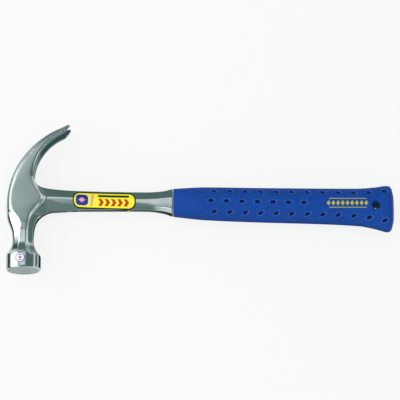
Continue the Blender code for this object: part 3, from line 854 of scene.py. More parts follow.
    def section_ring(self, section: HeadSection, scale: float = 1.0) -> np.ndarray:
        """Return the ring of one head section.

        Args:
            section: the section.
            scale: how much it has grown about the head's axis.

        Returns:
            The closed ring.
        """
        line = self.back_line(section.level)
        half_width = self.root_half_width - section.width_loss
        back = [(line + inward, height) for inward, height in self.back_corners(section)]
        width = section.bevel_top_x - section.side_back_x
        crown = self.side_crown * min(width / self.full_crown_width, 1.0)
        side = self.side_points(section.side_back_x, section.bevel_top_x, half_width, crown, 0.5)
        front = [(section.bevel_foot_x, section.bevel_foot_z),
                 (section.front_edge_x, section.front_edge_z), (section.front_x, 0.0)]
        smoothness = 1.0 - ease(self.facet_start_depth, self.facet_full_depth, -section.level)
        half = self.half_ring(back, side, front, smoothness) * scale
        levels = np.full((len(half), 1), section.level)
        return mirrored_ring(np.hstack((half[:, :1], levels, half[:, 1:])))

    def blended_sections(self, sections: tuple[HeadSection, ...], count: int) -> list[HeadSection]:
        """Return evenly spaced sections on smooth curves through the given ones.

        Args:
            sections: the given sections, from the top down.
            count: how many to return, both ends included.

        Returns:
            The sections.
        """
        depths = [-section.level for section in sections]
        samples = np.linspace(depths[0], depths[-1], count)
        columns = zip(*(astuple(section) for section in sections))
        curves = [SmoothLine(tuple(zip(depths, column))).at(samples) for column in columns]
        return [HeadSection(*row) for row in zip(*curves)]

    def blank(self) -> Mesh:
        """Loft the head from the claw tips down to the flare and on.

        Returns:
            A closed mesh, which runs past the striking face.
        """
        shares = np.linspace(0.0, 1.0, self.claw_stations)
        rings = [self.claw_ring(share ** self.tip_crowding) for share in shares]
        for given, count in ((UPPER_SECTIONS, self.upper_stations), (LOWER_SECTIONS, self.lower_stations)):
            rings += [self.section_ring(section) for section in self.blended_sections(given, count)[1:]]
        neck = astuple(LOWER_SECTIONS[-1])[1:]
        neck_half_width = self.root_half_width - LOWER_SECTIONS[-1].width_loss
        runs = list(np.linspace(0.0, self.flare_run, self.flare_stations)[1:])
        for run in runs + [self.flare_overrun * self.flare_run]:
            turn = min(run, self.flare_run) / self.flare_radius
            rise = self.flare_radius * (1.0 - math.sqrt(1.0 - turn ** 2))
            section = HeadSection(self.flare_start - run, *neck)
            rings.append(self.section_ring(section, 1.0 + rise / neck_half_width))
        return loft_mesh("head_blank", rings)

    def bell_envelope(self) -> Mesh:
        """Turn the outline that the bell is machined to.

        Returns:
            A closed mesh, which clears the head above the flare.
        """
        wide = FRAME.overall_length
        radius, face = FRAME.bell_radius, FRAME.face_level
        profile = [(wide, wide), (wide, self.flare_start), (radius, self.flare_start),
                   (radius, face + self.face_chamfer), (radius - self.face_chamfer, face)]
        return turned_mesh("bell_envelope", profile, self.bell_sides)

    def nail_slot(self) -> Mesh:
        """Loft the V-shaped cutter of the nail slot.

        Returns:
            A closed mesh, which is wider on the inside of the claw.
        """
        tip = self.back_arc(self.tip_angle())
        end = self.back_arc(self.tip_angle() + self.slot_length / self.back_radius)
        length = float(np.linalg.norm(tip - end))
        along = (tip - end) / length
        outward = np.array((-along[1], along[0]))
        reach = self.slot_reach * self.root_half_width
        mouth = length + self.slot_overrun * self.tip_bevel
        slope = (self.slot_mouth - self.slot_end_radius) / length
        rings = []
        for offset in (reach, 0.0, -reach):
            radius = self.slot_end_radius + max(-offset, 0.0) * math.tan(self.slot_wall_angle)
            turns = np.linspace(0.0, 0.5 * math.pi, self.slot_end_steps)
            distances = np.concatenate(([mouth], -radius * np.sin(turns)))
            heights = np.concatenate(([radius + slope * mouth], radius * np.cos(turns)))
            places = end + along * distances[:, None] + outward * offset
            half = np.hstack((places, heights[:, None]))
            rings.append(np.vstack((half, half[-2::-1] * (1.0, 1.0, -1.0))))
        return loft_mesh("nail_slot", rings)

    def solid(self) -> Mesh:
        """Return the machined head."""
        return cut(cut(self.blank(), self.bell_envelope(), "INTERSECT"), self.nail_slot(), "DIFFERENCE")


@dataclass(frozen=True)
class Shank:
    """Shank of diamond section that swells to a collar at the grip, in millimetres.

    The collar line is a share of the way to the collar's heights. The ridge's fall is a share of its roll,
    and a lower bulge of 1 would make the lower flank flat.
    """

    start: float = 2.0
    end: float = 126.7
    ridge_height: float = 5.8
    edge_height: float = 3.2
    lower_bulge: float = 0.55
    fillet_radius: float = 17.4
    fillet_x: float = 26.2
    fillet_level: float = -27.0
    fillet_foot: float = 11.6
    collar_height: float = 9.4
    collar_edge_height: float = 5.4
    top_line: SmoothLine = SmoothLine(((2.0, 19.0), (9.0, 17.2), (11.0, 14.4), (15.0, 12.0), (26.0, 10.0),
                                       (43.0, 8.7), (72.0, 7.8), (106.0, 7.4), (118.0, 8.0), (126.7, 9.8)))
    ridge_line: SmoothLine = SmoothLine(((2.0, 2.0), (19.4, 1.9), (60.0, 0.2), (126.7, -1.3)))
    bottom_line: SmoothLine = SmoothLine(((26.2, -9.6), (50.0, -8.4), (80.0, -8.3), (106.0, -8.6),
                                          (118.0, -9.9), (126.7, -12.4)))
    ridge_flat_line: SmoothLine = SmoothLine(((2.0, 0.55), (60.0, 0.8), (100.0, 1.1), (126.7, 2.6)))
    ridge_roll_line: SmoothLine = SmoothLine(((2.0, 0.55), (60.0, 0.9), (90.0, 1.8), (110.0, 4.4),
                                              (126.7, 6.4)))
    ridge_fall: float = 0.09
    lower_bevel_line: SmoothLine = SmoothLine(((2.0, 13.0), (19.0, 11.0), (30.0, 7.0), (45.0, 4.2),
                                               (60.0, 3.0), (126.7, 3.0)))
    collar_line: SmoothLine = SmoothLine(((2.0, 0.0), (106.0, 0.0), (126.7, 1.0)))
    stations: int = 150
    film_bridge: float = 0.6
    film_samples: int = 9

    def bottom(self, x: float) -> float:
        """Find the shank's bottom, which runs into the neck in a fillet.

        Args:
            x: the place along the shank.

        Returns:
            Its level.
        """
        if x >= self.fillet_x:
            return float(self.bottom_line.at(x))
        run = self.fillet_x - max(x, self.fillet_foot)
        return self.fillet_level + math.sqrt(self.fillet_radius ** 2 - run ** 2)

    def half(self, x: float) -> Outline:
        """Find the upper half of one section.

        Args:
            x: the place along the shank.

        Returns:
            Level and height of each corner, from the bottom to the top.
        """
        lines = (self.top_line, self.ridge_line, self.ridge_flat_line, self.ridge_roll_line,
                 self.lower_bevel_line, self.collar_line)
        top, ridge, flat, roll, rise, share = (float(line.at(x)) for line in lines)
        bottom = self.bottom(x)
        ridge_z = blend(self.ridge_height, self.collar_height, share)
        edge_z = blend(self.edge_height, self.collar_edge_height, share)
        fall = self.ridge_fall * roll
        bevel = bottom + rise
        bevel_share = self.lower_bulge * (ridge - roll - bevel) / (ridge - roll - bottom)
        bevel_z = blend(ridge_z - fall, edge_z, bevel_share)
        return [(bottom, edge_z), (bevel, bevel_z), (ridge - roll, ridge_z - fall),
                (ridge - 0.5 * roll, ridge_z - 0.25 * fall), (ridge + flat, ridge_z), (top, edge_z)]

    def height(self, x: float, level: float) -> float:
        """Find the height of the upper side, with the creases eased as a film bridges them.

        Args:
            x: the place along the shank.
            level: the place across it.

        Returns:
            The height above the parting plane.
        """
        levels, heights = zip(*self.half(x))
        around = level + np.linspace(-self.film_bridge, self.film_bridge, self.film_samples)
        return float(np.mean(np.interp(around, levels, heights)))

    def solid(self) -> Mesh:
        """Loft the shank from inside the head to the grip.

        Returns:
            A closed mesh.
        """
        rings = []
        for x in np.linspace(self.start, self.end, self.stations):
            half = [(x, level, height) for level, height in self.half(float(x))]
            rings.append(np.array(half + [(x, y, -z) for x, y, z in reversed(half)]))
        return loft_mesh("shank", rings)


@dataclass(frozen=True)
class Forging:
    """Head and shank, which are one piece of steel, in millimetres.

    Names with _facing are cosines of how far a face may turn from a direction and still have its finish, and
    names with _run say over how much a finish fades out.
    """

    head: Head = Head()
    shank: Shank = Shank()
    voxel: float = 0.36
    rounds: int = 6
    inner_margin: float = 0.5
    inner_facing: float = 0.3
    bevel_facing: float = 0.7
    slot_half_width: float = 9.0
    slot_facing: float = -0.3
    bell_margin: float = 0.12
    face_margin: float = 0.3
    face_facing: float = 0.9
    side_facing: float = 0.93
    side_facing_run: float = 0.05
    side_satin_level: float = -25.0
    back_facing: float = 0.15
    back_facing_run: float = 0.3
    back_satin_level: float = -12.0
    satin_run: float = 6.0
    shank_start: float = 19.0
    shank_buff: float = 0.75
    body: SteelFinish = SteelFinish("blasted_and_buffed_steel", "#A6B3B1", "#D2DCDA", 0.32, 0.17,
                                    Grain.BLASTED, 0.9, 0.06)
    ground: SteelFinish = SteelFinish("ground_steel", "#A3B0B1", "#A3B0B1", 0.36, 0.36,
                                      Grain.GROUND, 0.5, 0.015)
    turned: SteelFinish = SteelFinish("turned_steel", "#D0DAD8", "#D0DAD8", 0.16, 0.16,
                                      Grain.TURNED, 0.5, 0.005)
    # The inside of the claw is darker partly as as-forged scale and partly as painted shade, which stands in
    # for its darker reflection
    scaled_and_shaded: SteelFinish = SteelFinish("as_forged_and_shaded_steel", "#7C9092", "#7C9092", 0.42, 0.42,
                                      Grain.BLASTED, 1.1, 0.03)

    def regions(self, mesh: Mesh) -> np.ndarray:
        """Sort the faces by finish.

        Args:
            mesh: the mesh.

        Returns:
            The region that each face belongs to.
        """
        x, y, z = vectors_of(mesh.polygons, "center").T
        nx, ny, _ = vectors_of(mesh.polygons, "normal").T
        head = self.head
        middle = head.inner_centre()
        towards = np.stack((middle[0] - x, middle[1] - y), axis=1)
        distance = np.linalg.norm(towards, axis=1)
        facing = (nx * towards[:, 0] + ny * towards[:, 1]) / distance
        near = (distance < head.inner_radius + self.inner_margin) & (facing > self.inner_facing)
        bevelled = (x > head.claw_reach - head.tip_bevel) & (facing > self.bevel_facing)
        slot = (np.abs(z) < self.slot_half_width) & (facing > self.slot_facing)
        round_bell = (np.hypot(x, z) > FRAME.bell_radius - self.bell_margin) & (y < head.flare_start)
        result = np.full(len(mesh.polygons), Region.BODY, dtype=np.int32)
        # The inside of the claw, its tip bevel and the slot take the darker colour: as-forged scale and
        # painted shade
        result[(near | bevelled | slot) & (y > head.root_level)] = Region.SCALED
        result[round_bell | (y < FRAME.face_level + head.face_chamfer)] = Region.TURNED
        result[(y < FRAME.face_level + self.face_margin) & (ny < -self.face_facing)] = Region.GROUND
        return result

    def mark_buffed(self, mesh: Mesh) -> None:
        """Store how far each point is buffed: fully, apart from the sides and back of cheek and claw.

        Args:
            mesh: the mesh.
        """
        x, y, _ = vectors_of(mesh.vertices, "co").T
        nx, ny, nz = vectors_of(mesh.vertices, "normal").T
        side = ramp(np.abs(nz), self.side_facing, self.side_facing_run)
        side *= ramp(y, self.side_satin_level, self.satin_run)
        across = self.head.back_radius - FRAME.cheek_back - x
        up = np.maximum(y - self.head.cheek_centre, 0.0)
        outward = (ny * up - nx * across) / np.hypot(across, up)
        back = ramp(outward, self.back_facing, self.back_facing_run)
        back *= ramp(y, self.back_satin_level, self.satin_run)
        satin = np.maximum(side, back) * ((x < self.shank_start) | (y > self.head.root_level))
        store_values(mesh, "buff", (1.0 - satin) * np.where(x > self.shank_start, self.shank_buff, 1.0))

    def build(self) -> None:
        """Build, dress and place the forging."""
        mesh = moulded(joined([self.head.solid(), self.shank.solid()]), self.voxel, self.rounds)
        mesh.polygons.foreach_set("material_index", self.regions(mesh))
        self.mark_buffed(mesh)
        finishes = (self.body, self.ground, self.turned, self.scaled_and_shaded)
        materials = [finish.material() for finish in finishes]
        show_piece("forging", mesh, materials, Slot.STEEL, "forged_head_and_shank")


@dataclass(frozen=True)
class VinylGrip:
    """Moulded grip with rows of pressed dimples and a hole to hang it by, in millimetres.

    The hole's flare is a row of heights over the crest and widenings, as multiples of the mouth. Names with
    pit_ and rim_ are multiples of a dimple's half length and half width, and mark_depth is one of its depth.
    """

    start: float = 127.0
    end: float = 315.0
    lip: float = 0.5
    squareness: float = 2.35
    end_radius: float = 4.2
    end_degrees: float = 84.0
    end_steps: int = 10
    end_bulge: float = 1.4
    end_dome: float = 7.0
    dome_steps: int = 9
    sides: int = 128
    stations: int = 190
    hole_x: float = 299.6
    hole_radius: float = 3.0
    hole_mouth: float = 1.6
    hole_sides: int = 48
    hole_flare: tuple[Corner, ...] = ((2.5, 2.2), (0.0, 1.0), (-0.5, 0.45), (-1.6, 0.0))
    dimple_length: float = 5.4
    dimple_width: float = 3.0
    dimple_depth: float = 1.7
    punch_sides: int = 24
    punch_rings: int = 14
    # Where the painted shade and the painted rim highlight lie round each dimple
    mark_depth: float = 2.0
    pit_reach: float = 1.0
    pit_fade: float = 0.3
    rim_reach: float = 1.12
    rim_width: float = 0.22
    # How strongly the painted highlight lightens the dimples' rims
    rim_highlight_share: float = 0.62
    outer_first: float = 162.2
    outer_last: float = 306.85
    outer_count: int = 12
    outer_angle: float = math.radians(38.0)
    outer_tilt: float = math.radians(32.0)
    middle_shift: float = -2.8
    middle_count: int = 7
    voxel: float = 0.42
    rounds: int = 3
    centre_line: SmoothLine = SmoothLine(((0.0, 1.2), (126.7, -1.3), (188.7, -3.1), (285.0, -5.3),
                                          (315.0, -7.2)))
    depth_line: SmoothLine = SmoothLine(((126.7, 12.0), (156.7, 14.0), (188.7, 14.5), (250.0, 15.1),
                                         (285.0, 16.0), (299.0, 17.9), (310.0, 20.0), (315.0, 20.0)))
    thickness_line: SmoothLine = SmoothLine(((126.7, 9.4), (152.7, 12.6), (315.0, 13.2)))
    finish: VinylFinish = VinylFinish()

    def points(self, x: float, angles: np.ndarray, inset: float = 0.0) -> np.ndarray:
        """Return points of the surface at angles from the upper crest towards the claw.

        Args:
            x: the place along the grip.
            angles: the angles round it.
            inset: how far inside the surface.

        Returns:
            The points, one row each.
        """
        power = 2.0 / self.squareness
        sines, cosines = np.sin(angles), np.cos(angles)
        y = np.sign(sines) * np.abs(sines) ** power * (self.depth_line.at(x) - inset)
        z = np.sign(cosines) * np.abs(cosines) ** power * (self.thickness_line.at(x) - inset)
        return np.stack((np.full(len(angles), x), self.centre_line.at(x) + y, z), axis=1)

    def height(self, x: float, level: float) -> float:
        """Return the height of the upper side at a place and a level across the grip."""
        share = min(abs((level - float(self.centre_line.at(x))) / float(self.depth_line.at(x))), 1.0)
        return float(self.thickness_line.at(x)) * (1.0 - share ** self.squareness) ** (1.0 / self.squareness)

    def blank(self) -> Mesh:
        """Loft the grip, with a rounded and slightly bulging end.

        Returns:
            A closed mesh.
        """
        angles = 2.0 * math.pi * (np.arange(self.sides) + 0.5) / self.sides
        corner = self.end - self.end_bulge - self.end_radius
        rings = [self.points(self.start, angles, self.lip)]
        rings += [self.points(x, angles) for x in np.linspace(self.start + self.lip, corner, self.stations)]
        for turn in np.radians(np.linspace(0.0, self.end_degrees, self.end_steps)[1:]):
            ring = self.points(corner, angles, self.end_radius * (1.0 - math.cos(turn)))
            ring[:, 0] += self.end_radius * math.sin(turn)
            rings.append(ring)
        for share in np.linspace(0.0, 1.0, self.dome_steps)[1:]:
            ring = self.points(corner, angles, self.end_radius + self.end_dome * share)
            ring[:, 0] += self.end_radius + self.end_bulge * math.sin(0.5 * math.pi * share)
            rings.append(ring)
        return loft_mesh("grip_blank", rings)

    def dimple_axes(self) -> list[np.ndarray]:
        """Place the dimples of both sides.

        Returns:
            For each one, rows of its centre and its long, short and outward axes.
        """
        row = np.linspace(self.outer_first, self.outer_last, self.outer_count)
        spots = [(x, side * self.outer_angle, -side * self.outer_tilt) for x in row for side in (1.0, -1.0)]
        spots += [(x + self.middle_shift, 0.0, 0.0) for x in row[:self.middle_count]]
        step = 0.01
        result = []
        for x, angle, tilt in spots:
            centre, turned = self.points(x, np.array((angle, angle + step)))
            along = self.points(x + step, np.array((angle,)))[0] - centre
            around = turned - centre
            along /= np.linalg.norm(along)
            around /= np.linalg.norm(around)
            outward = np.cross(along, around)
            outward /= np.linalg.norm(outward)
            long_axis = along * math.cos(tilt) + around * math.sin(tilt)
            axes = np.stack((centre, long_axis, np.cross(outward, long_axis), outward))
            result += [axes, axes * (1.0, 1.0, -1.0)]
        return result

    def punches(self) -> Mesh:
        """Make the lens-shaped punches that press the dimples.

        Returns:
            One mesh of them all.
        """
        builder = bmesh.new()
        sizes = np.array((0.5 * self.dimple_length, 0.5 * self.dimple_width, self.dimple_depth))
        for axes in self.dimple_axes():
            ball = bmesh.ops.create_uvsphere(builder, u_segments=self.punch_sides,
                                             v_segments=self.punch_rings, radius=1.0)
            for vertex in ball["verts"]:
                vertex.co = axes[0] + (np.array(vertex.co) * sizes) @ axes[1:]
        bmesh.ops.recalc_face_normals(builder, faces=builder.faces)
        mesh = bpy.data.meshes.new("punches")
        builder.to_mesh(mesh)
        builder.free()
        return mesh

    def hole(self) -> Mesh:
        """Turn the hole's cutter, with its mouths eased.

        Returns:
            A closed mesh.
        """
        crest = float(self.thickness_line.at(self.hole_x))
        upper = [(self.hole_radius + widening * self.hole_mouth, crest + rise * self.hole_mouth)
                 for rise, widening in self.hole_flare]
        profile = upper + [(radius, -height) for radius, height in reversed(upper)]
        centre = (self.hole_x, float(self.centre_line.at(self.hole_x)), 0.0)
        return turned_mesh("hole", profile, self.hole_sides, 2, centre)

    def mark_pit_shade_and_rim_highlight(self, mesh: Mesh) -> None:
        """Store how far each point lies in a dimple, for painted shade there, or on its rim, for a painted
        highlight.

        Args:
            mesh: the mesh.
        """
        points = vectors_of(mesh.vertices, "co")
        pit_shade = np.zeros(len(points))
        rim_highlight = np.zeros(len(points))
        deepest = self.mark_depth * self.dimple_depth
        sizes = np.array((0.5 * self.dimple_length, 0.5 * self.dimple_width, deepest))
        for axes in self.dimple_axes():
            along, across, deep = ((points - axes[0]) @ axes[1:].T / sizes).T
            distance = np.where(np.abs(deep) < 1.0, np.hypot(along, across), np.inf)
            # Painted shade inside the dimple
            pit_shade = np.maximum(pit_shade, ramp(-distance, -self.pit_reach, self.pit_fade))
            # A painted highlight on the dimple's rim
            rim = ramp(-np.abs(distance - self.rim_reach), -self.rim_width, self.rim_width)
            rim_highlight = np.maximum(rim_highlight, self.rim_highlight_share * rim)
        store_values(mesh, "pit_shade", pit_shade)
        store_values(mesh, "rim_highlight", rim_highlight)

    def build(self) -> None:
        """Build, dress and place the grip."""
        pressed = cut(cut(self.blank(), self.punches(), "DIFFERENCE"), self.hole(), "DIFFERENCE")
        mesh = moulded(pressed, self.voxel, self.rounds)
        self.mark_pit_shade_and_rim_highlight(mesh)
        show_piece("grip", mesh, [self.finish.material()], Slot.VINYL, "vinyl_grip")


def film_mesh(outlines: Sequence[Outline], surface: SurfacePoint, lift: float, thickness: float,
              step: float = 0.5) -> Mesh:
    """Lay flat outlines on a surface as thin closed films.

    Args:
        outlines: corners of each film in the surface's own two measures.
        surface: gives the point at two measures and a lift.
        lift: how far the films' undersides stand off the surface.
        thickness: the films' thickness.
        step: the spacing at which they are bent, in millimetres.

    Returns:
        One mesh of all the films.
    """
    points: list[Point] = []
    faces: list[tuple[int, ...]] = []
    for outline in outlines:
        builder = bmesh.new()
        corners = [builder.verts.new((u, v, 0.0)) for u, v in outline]
        edges = [builder.edges.new((a, b)) for a, b in zip(corners, corners[1:] + corners[:1])]
        bmesh.ops.triangle_fill(builder, use_beauty=True, edges=edges, normal=(0.0, 0.0, 1.0))
        for axis in (0, 1):
            low = min(corner[axis] for corner in outline)
            high = max(corner[axis] for corner in outline)
            normal = Vector((1.0 - axis, axis, 0.0))
            for place in np.arange(low + 0.5 * step, high, step):
                parts = builder.verts[:] + builder.edges[:] + builder.faces[:]
                bmesh.ops.bisect_plane(builder, geom=parts, plane_co=normal * float(place), plane_no=normal)
        builder.normal_update()
        builder.verts.index_update()
        count, base = len(builder.verts), len(points)
        points += [surface(v.co.x, v.co.y, lift + thickness) for v in builder.verts]
        points += [surface(v.co.x, v.co.y, lift) for v in builder.verts]
        for face in builder.faces:
            loop = [v.index for v in face.verts]
            loop = loop if face.normal.z > 0.0 else loop[::-1]
            faces.append(tuple(base + i for i in loop))
            faces.append(tuple(base + count + i for i in reversed(loop)))
        for edge in builder.edges:
            if len(edge.link_faces) == 1:
                a, b = (v.index for v in edge.verts)
                faces.append((base + a, base + b, base + count + b, base + count + a))
        builder.free()
    return closed_mesh("film", points, faces)


@dataclass(frozen=True)
class FilmLayer:
    """One layer of a printed film, whose lift and thickness are in millimetres."""

    name: str
    outlines: list[Outline]
    lift: float
    thickness: float
    finish: InkFinish


def lay_films(layers: Sequence[FilmLayer], surface: SurfacePoint, slot: Slot, node: str) -> None:
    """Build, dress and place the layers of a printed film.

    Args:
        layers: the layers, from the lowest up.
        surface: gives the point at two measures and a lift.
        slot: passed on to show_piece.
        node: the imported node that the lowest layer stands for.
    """
    for order, layer in enumerate(layers):
        mesh = film_mesh(layer.outlines, surface, layer.lift, layer.thickness)
        show_piece(layer.name, mesh, [layer.finish.material()], slot, None if order else node)


def rounded_box(low: Corner, high: Corner, radius: float, steps: int = 10) -> Outline:
    """Return a rectangle with rounded corners.

    Args:
        low: its lowest corner.
        high: its highest corner.
        radius: the corners' radius.
        steps: how many steps round each corner.

    Returns:
        The outline, anticlockwise.
    """
    centres = [(high[0] - radius, high[1] - radius), (low[0] + radius, high[1] - radius),
               (low[0] + radius, low[1] + radius), (high[0] - radius, low[1] + radius)]
    outline = []
    for quarter, (x, y) in enumerate(centres):
        for turn in np.linspace(0.0, 0.5 * math.pi, steps) + 0.5 * math.pi * quarter:
            outline.append((x + radius * math.cos(turn), y + radius * math.sin(turn)))
    return outline


def lozenge(middle: Corner, half: Corner) -> Outline:
    """Return a lozenge of given half length and half height about its middle."""
    (x, y), (length, height) = middle, half
    return [(x - length, y), (x, y - height), (x + length, y), (x, y + height)]


@dataclass(frozen=True)
class ShankLabel:
    """Printed film label folded over the shank's ridge, in millimetres."""

    shank: Shank = Shank()
    start: float = 41.5
    length: float = 53.8
    depth: float = 14.6
    drop: float = 0.6
    corner_radius: float = 6.2
    border: float = 1.15
    lift: float = 0.06
    film: float = 0.1
    ink: float = 0.05
    margin: float = 2.5
    panel_start: float = 2.6
    panel_end: float = 13.2
    panel_radius: float = 3.2
    panel_lozenge: Corner = (2.9, 2.3)
    bar_start: float = 14.6
    bar_width: float = 2.0
    bar_slant: float = 1.6
    chevron_count: int = 5
    chevron_start: float = 21.6
    chevron_pitch: float = 5.4
    chevron_width: float = 2.9
    chevron_point: float = 2.0
    chevron_low: float = 2.6
    chevron_high: float = 8.6
    rule_low: Corner = (21.4, 10.2)
    rule_high: Corner = (48.0, 12.2)
    rule_radius: float = 0.9
    rule_steps: int = 6
    backing: InkFinish = InkFinish("black_printed_film", "#16210F", "#222B14")
    ground: InkFinish = InkFinish("yellow_printed_film", "#FFFA1E", "#FFFD3C")
    bold: InkFinish = InkFinish("red_printed_film", "#BE2A12", "#CC3A1C")
    deep: InkFinish = InkFinish("blue_printed_film", "#1B2390", "#262F9C")
    pale: InkFinish = InkFinish("pink_printed_film", "#E89AA0", "#F0B0B2")

    def surface(self, u: float, v: float, lift: float) -> Point:
        """Find a point over the shank.

        Args:
            u: the distance along the label.
            v: the distance across it.
            lift: the height over the steel.

        Returns:
            The point.
        """
        x = self.start + u
        middle = float(self.shank.ridge_line.at(x)) - self.drop
        level = middle + v - 0.5 * self.depth
        return x, level, self.shank.height(x, level) + lift

    def chevrons(self) -> list[Outline]:
        """Draw the row of plain chevrons.

        Returns:
            An outline of each.
        """
        low, high, point = self.chevron_low, self.chevron_high, self.chevron_point
        middle = 0.5 * (low + high)
        result = []
        for i in range(self.chevron_count):
            left = self.chevron_start + self.chevron_pitch * i
            right = left + self.chevron_width
            result.append([(left, low), (right, low), (right + point, middle), (right, high), (left, high),
                           (left + point, middle)])
        return result

    def bars(self) -> list[Outline]:
        """Draw the slanted bar beside the panel and the lozenge in the panel.

        Returns:
            Both outlines.
        """
        low, high = self.margin, self.depth - self.margin
        left, right = self.bar_start, self.bar_start + self.bar_width
        bar = [(left, low), (right, low), (right + self.bar_slant, high), (left + self.bar_slant, high)]
        middle = (0.5 * (self.panel_start + self.panel_end), 0.5 * self.depth)
        return [bar, lozenge(middle, self.panel_lozenge)]

    def build(self) -> None:
        """Build, dress and place the label's film and inks."""
        inner, top = self.border, self.lift + self.film
        far = (self.length - inner, self.depth - inner)
        outer = rounded_box((0.0, 0.0), (self.length, self.depth), self.corner_radius)
        inset = rounded_box((inner, inner), far, self.corner_radius - inner)
        rule = rounded_box(self.rule_low, self.rule_high, self.rule_radius, self.rule_steps)
        panel = rounded_box((self.panel_start, self.margin), (self.panel_end, self.depth - self.margin),
                            self.panel_radius)
        layers = [FilmLayer("label_backing", [outer], self.lift, self.film, self.backing),
                  FilmLayer("label_ground", [inset], top, self.ink, self.ground),
                  FilmLayer("label_chevrons", self.chevrons(), top + self.ink, self.ink, self.bold),
                  FilmLayer("label_rule", [rule], top + self.ink, self.ink, self.backing),
                  FilmLayer("label_panel", [panel], top + self.ink, self.ink, self.deep),
                  FilmLayer("label_bars", self.bars(), top + 2.0 * self.ink, self.ink, self.pale)]
        lay_films(layers, self.surface, Slot.LABEL, "shank_label")


@dataclass(frozen=True)
class BellSticker:
    """Small round sticker bent over the bell, in millimetres."""

    radius: float = 4.2
    sides: int = 48
    level: float = -52.5
    turn: float = math.radians(-8.0)
    rim: float = 0.6
    lift: float = 0.04
    film: float = 0.1
    ink: float = 0.02
    middle_lozenge: Corner = (1.9, 1.0)
    mark_half_width: float = 1.6
    mark_base: float = 2.4
    mark_tip: float = 1.5
    backing: InkFinish = InkFinish("blue_sticker_film", "#3A46A8", "#4650B0")
    ground: InkFinish = InkFinish("white_sticker_film", "#E2E6F2", "#EEF0F6")
    bold: InkFinish = InkFinish("red_sticker_film", "#B2443E", "#BE544C")

    def surface(self, u: float, v: float, lift: float) -> Point:
        """Find a point over the bell.

        Args:
            u: the distance round the bell.
            v: the distance along it.
            lift: the height over the steel.

        Returns:
            The point.
        """
        reach = FRAME.bell_radius + lift
        turn = self.turn + u / FRAME.bell_radius
        return reach * math.sin(turn), self.level + v, reach * math.cos(turn)

    def disc(self, radius: float) -> Outline:
        """Return a round outline."""
        turns = np.linspace(0.0, 2.0 * math.pi, self.sides, endpoint=False)
        return [(radius * math.cos(turn), radius * math.sin(turn)) for turn in turns]

    def build(self) -> None:
        """Build, dress and place the sticker's film and inks."""
        middle = lozenge((0.0, 0.0), self.middle_lozenge)
        marks = []
        for side in (1.0, -1.0):
            base, half = -side * self.mark_base, side * self.mark_half_width
            marks.append([(-half, base), (half, base), (0.0, -side * self.mark_tip)])
        top = self.lift + self.film
        outer, inset = self.disc(self.radius), self.disc(self.radius - self.rim)
        layers = [FilmLayer("sticker_backing", [outer], self.lift, self.film, self.backing),
                  FilmLayer("sticker_ground", [inset], top, self.ink, self.ground),
                  FilmLayer("sticker_lozenge", [middle], top + self.ink, self.ink, self.bold),
                  FilmLayer("sticker_marks", marks, top + self.ink, self.ink, self.backing)]
        lay_films(layers, self.surface, Slot.STICKER, "bell_sticker")


@dataclass(frozen=True)
class GripStamp:
    """Hot-stamped ornament on the grip: a row of lozenges between two lines, in millimetres."""

    grip: VinylGrip = VinylGrip()
    start: float = 256.6
    length: float = 38.0
    level: float = -4.6
    lift: float = 0.02
    foil: float = 0.04
    bend_step: float = 0.7
    lozenge_count: int = 9
    lozenge_first: float = 2.6
    lozenge_pitch: float = 4.0
    lozenge_half: Corner = (1.6, 2.4)
    line_inset: float = 3.0
    line_level: float = 3.9
    line_half_width: float = 0.35
    line_radius: float = 0.3
    line_steps: int = 4
    finish: FoilFinish = FoilFinish()

    def surface(self, u: float, v: float, lift: float) -> Point:
        """Return the point over the grip at a distance along and across the ornament."""
        x, level = self.start + u, self.level + v
        return x, level, self.grip.height(x, level) + lift

    def build(self) -> None:
        """Build, dress and place the ornament."""
        places = [self.lozenge_first + self.lozenge_pitch * i for i in range(self.lozenge_count)]
        outlines = [lozenge((place, 0.0), self.lozenge_half) for place in places]
        for level in (-self.line_level, self.line_level):
            low = (self.line_inset, level - self.line_half_width)
            high = (self.length - self.line_inset, level + self.line_half_width)
            outlines.append(rounded_box(low, high, self.line_radius, self.line_steps))
        mesh = film_mesh(outlines, self.surface, self.lift, self.foil, self.bend_step)
        show_piece("grip_stamp", mesh, [self.finish.material()], Slot.VINYL)


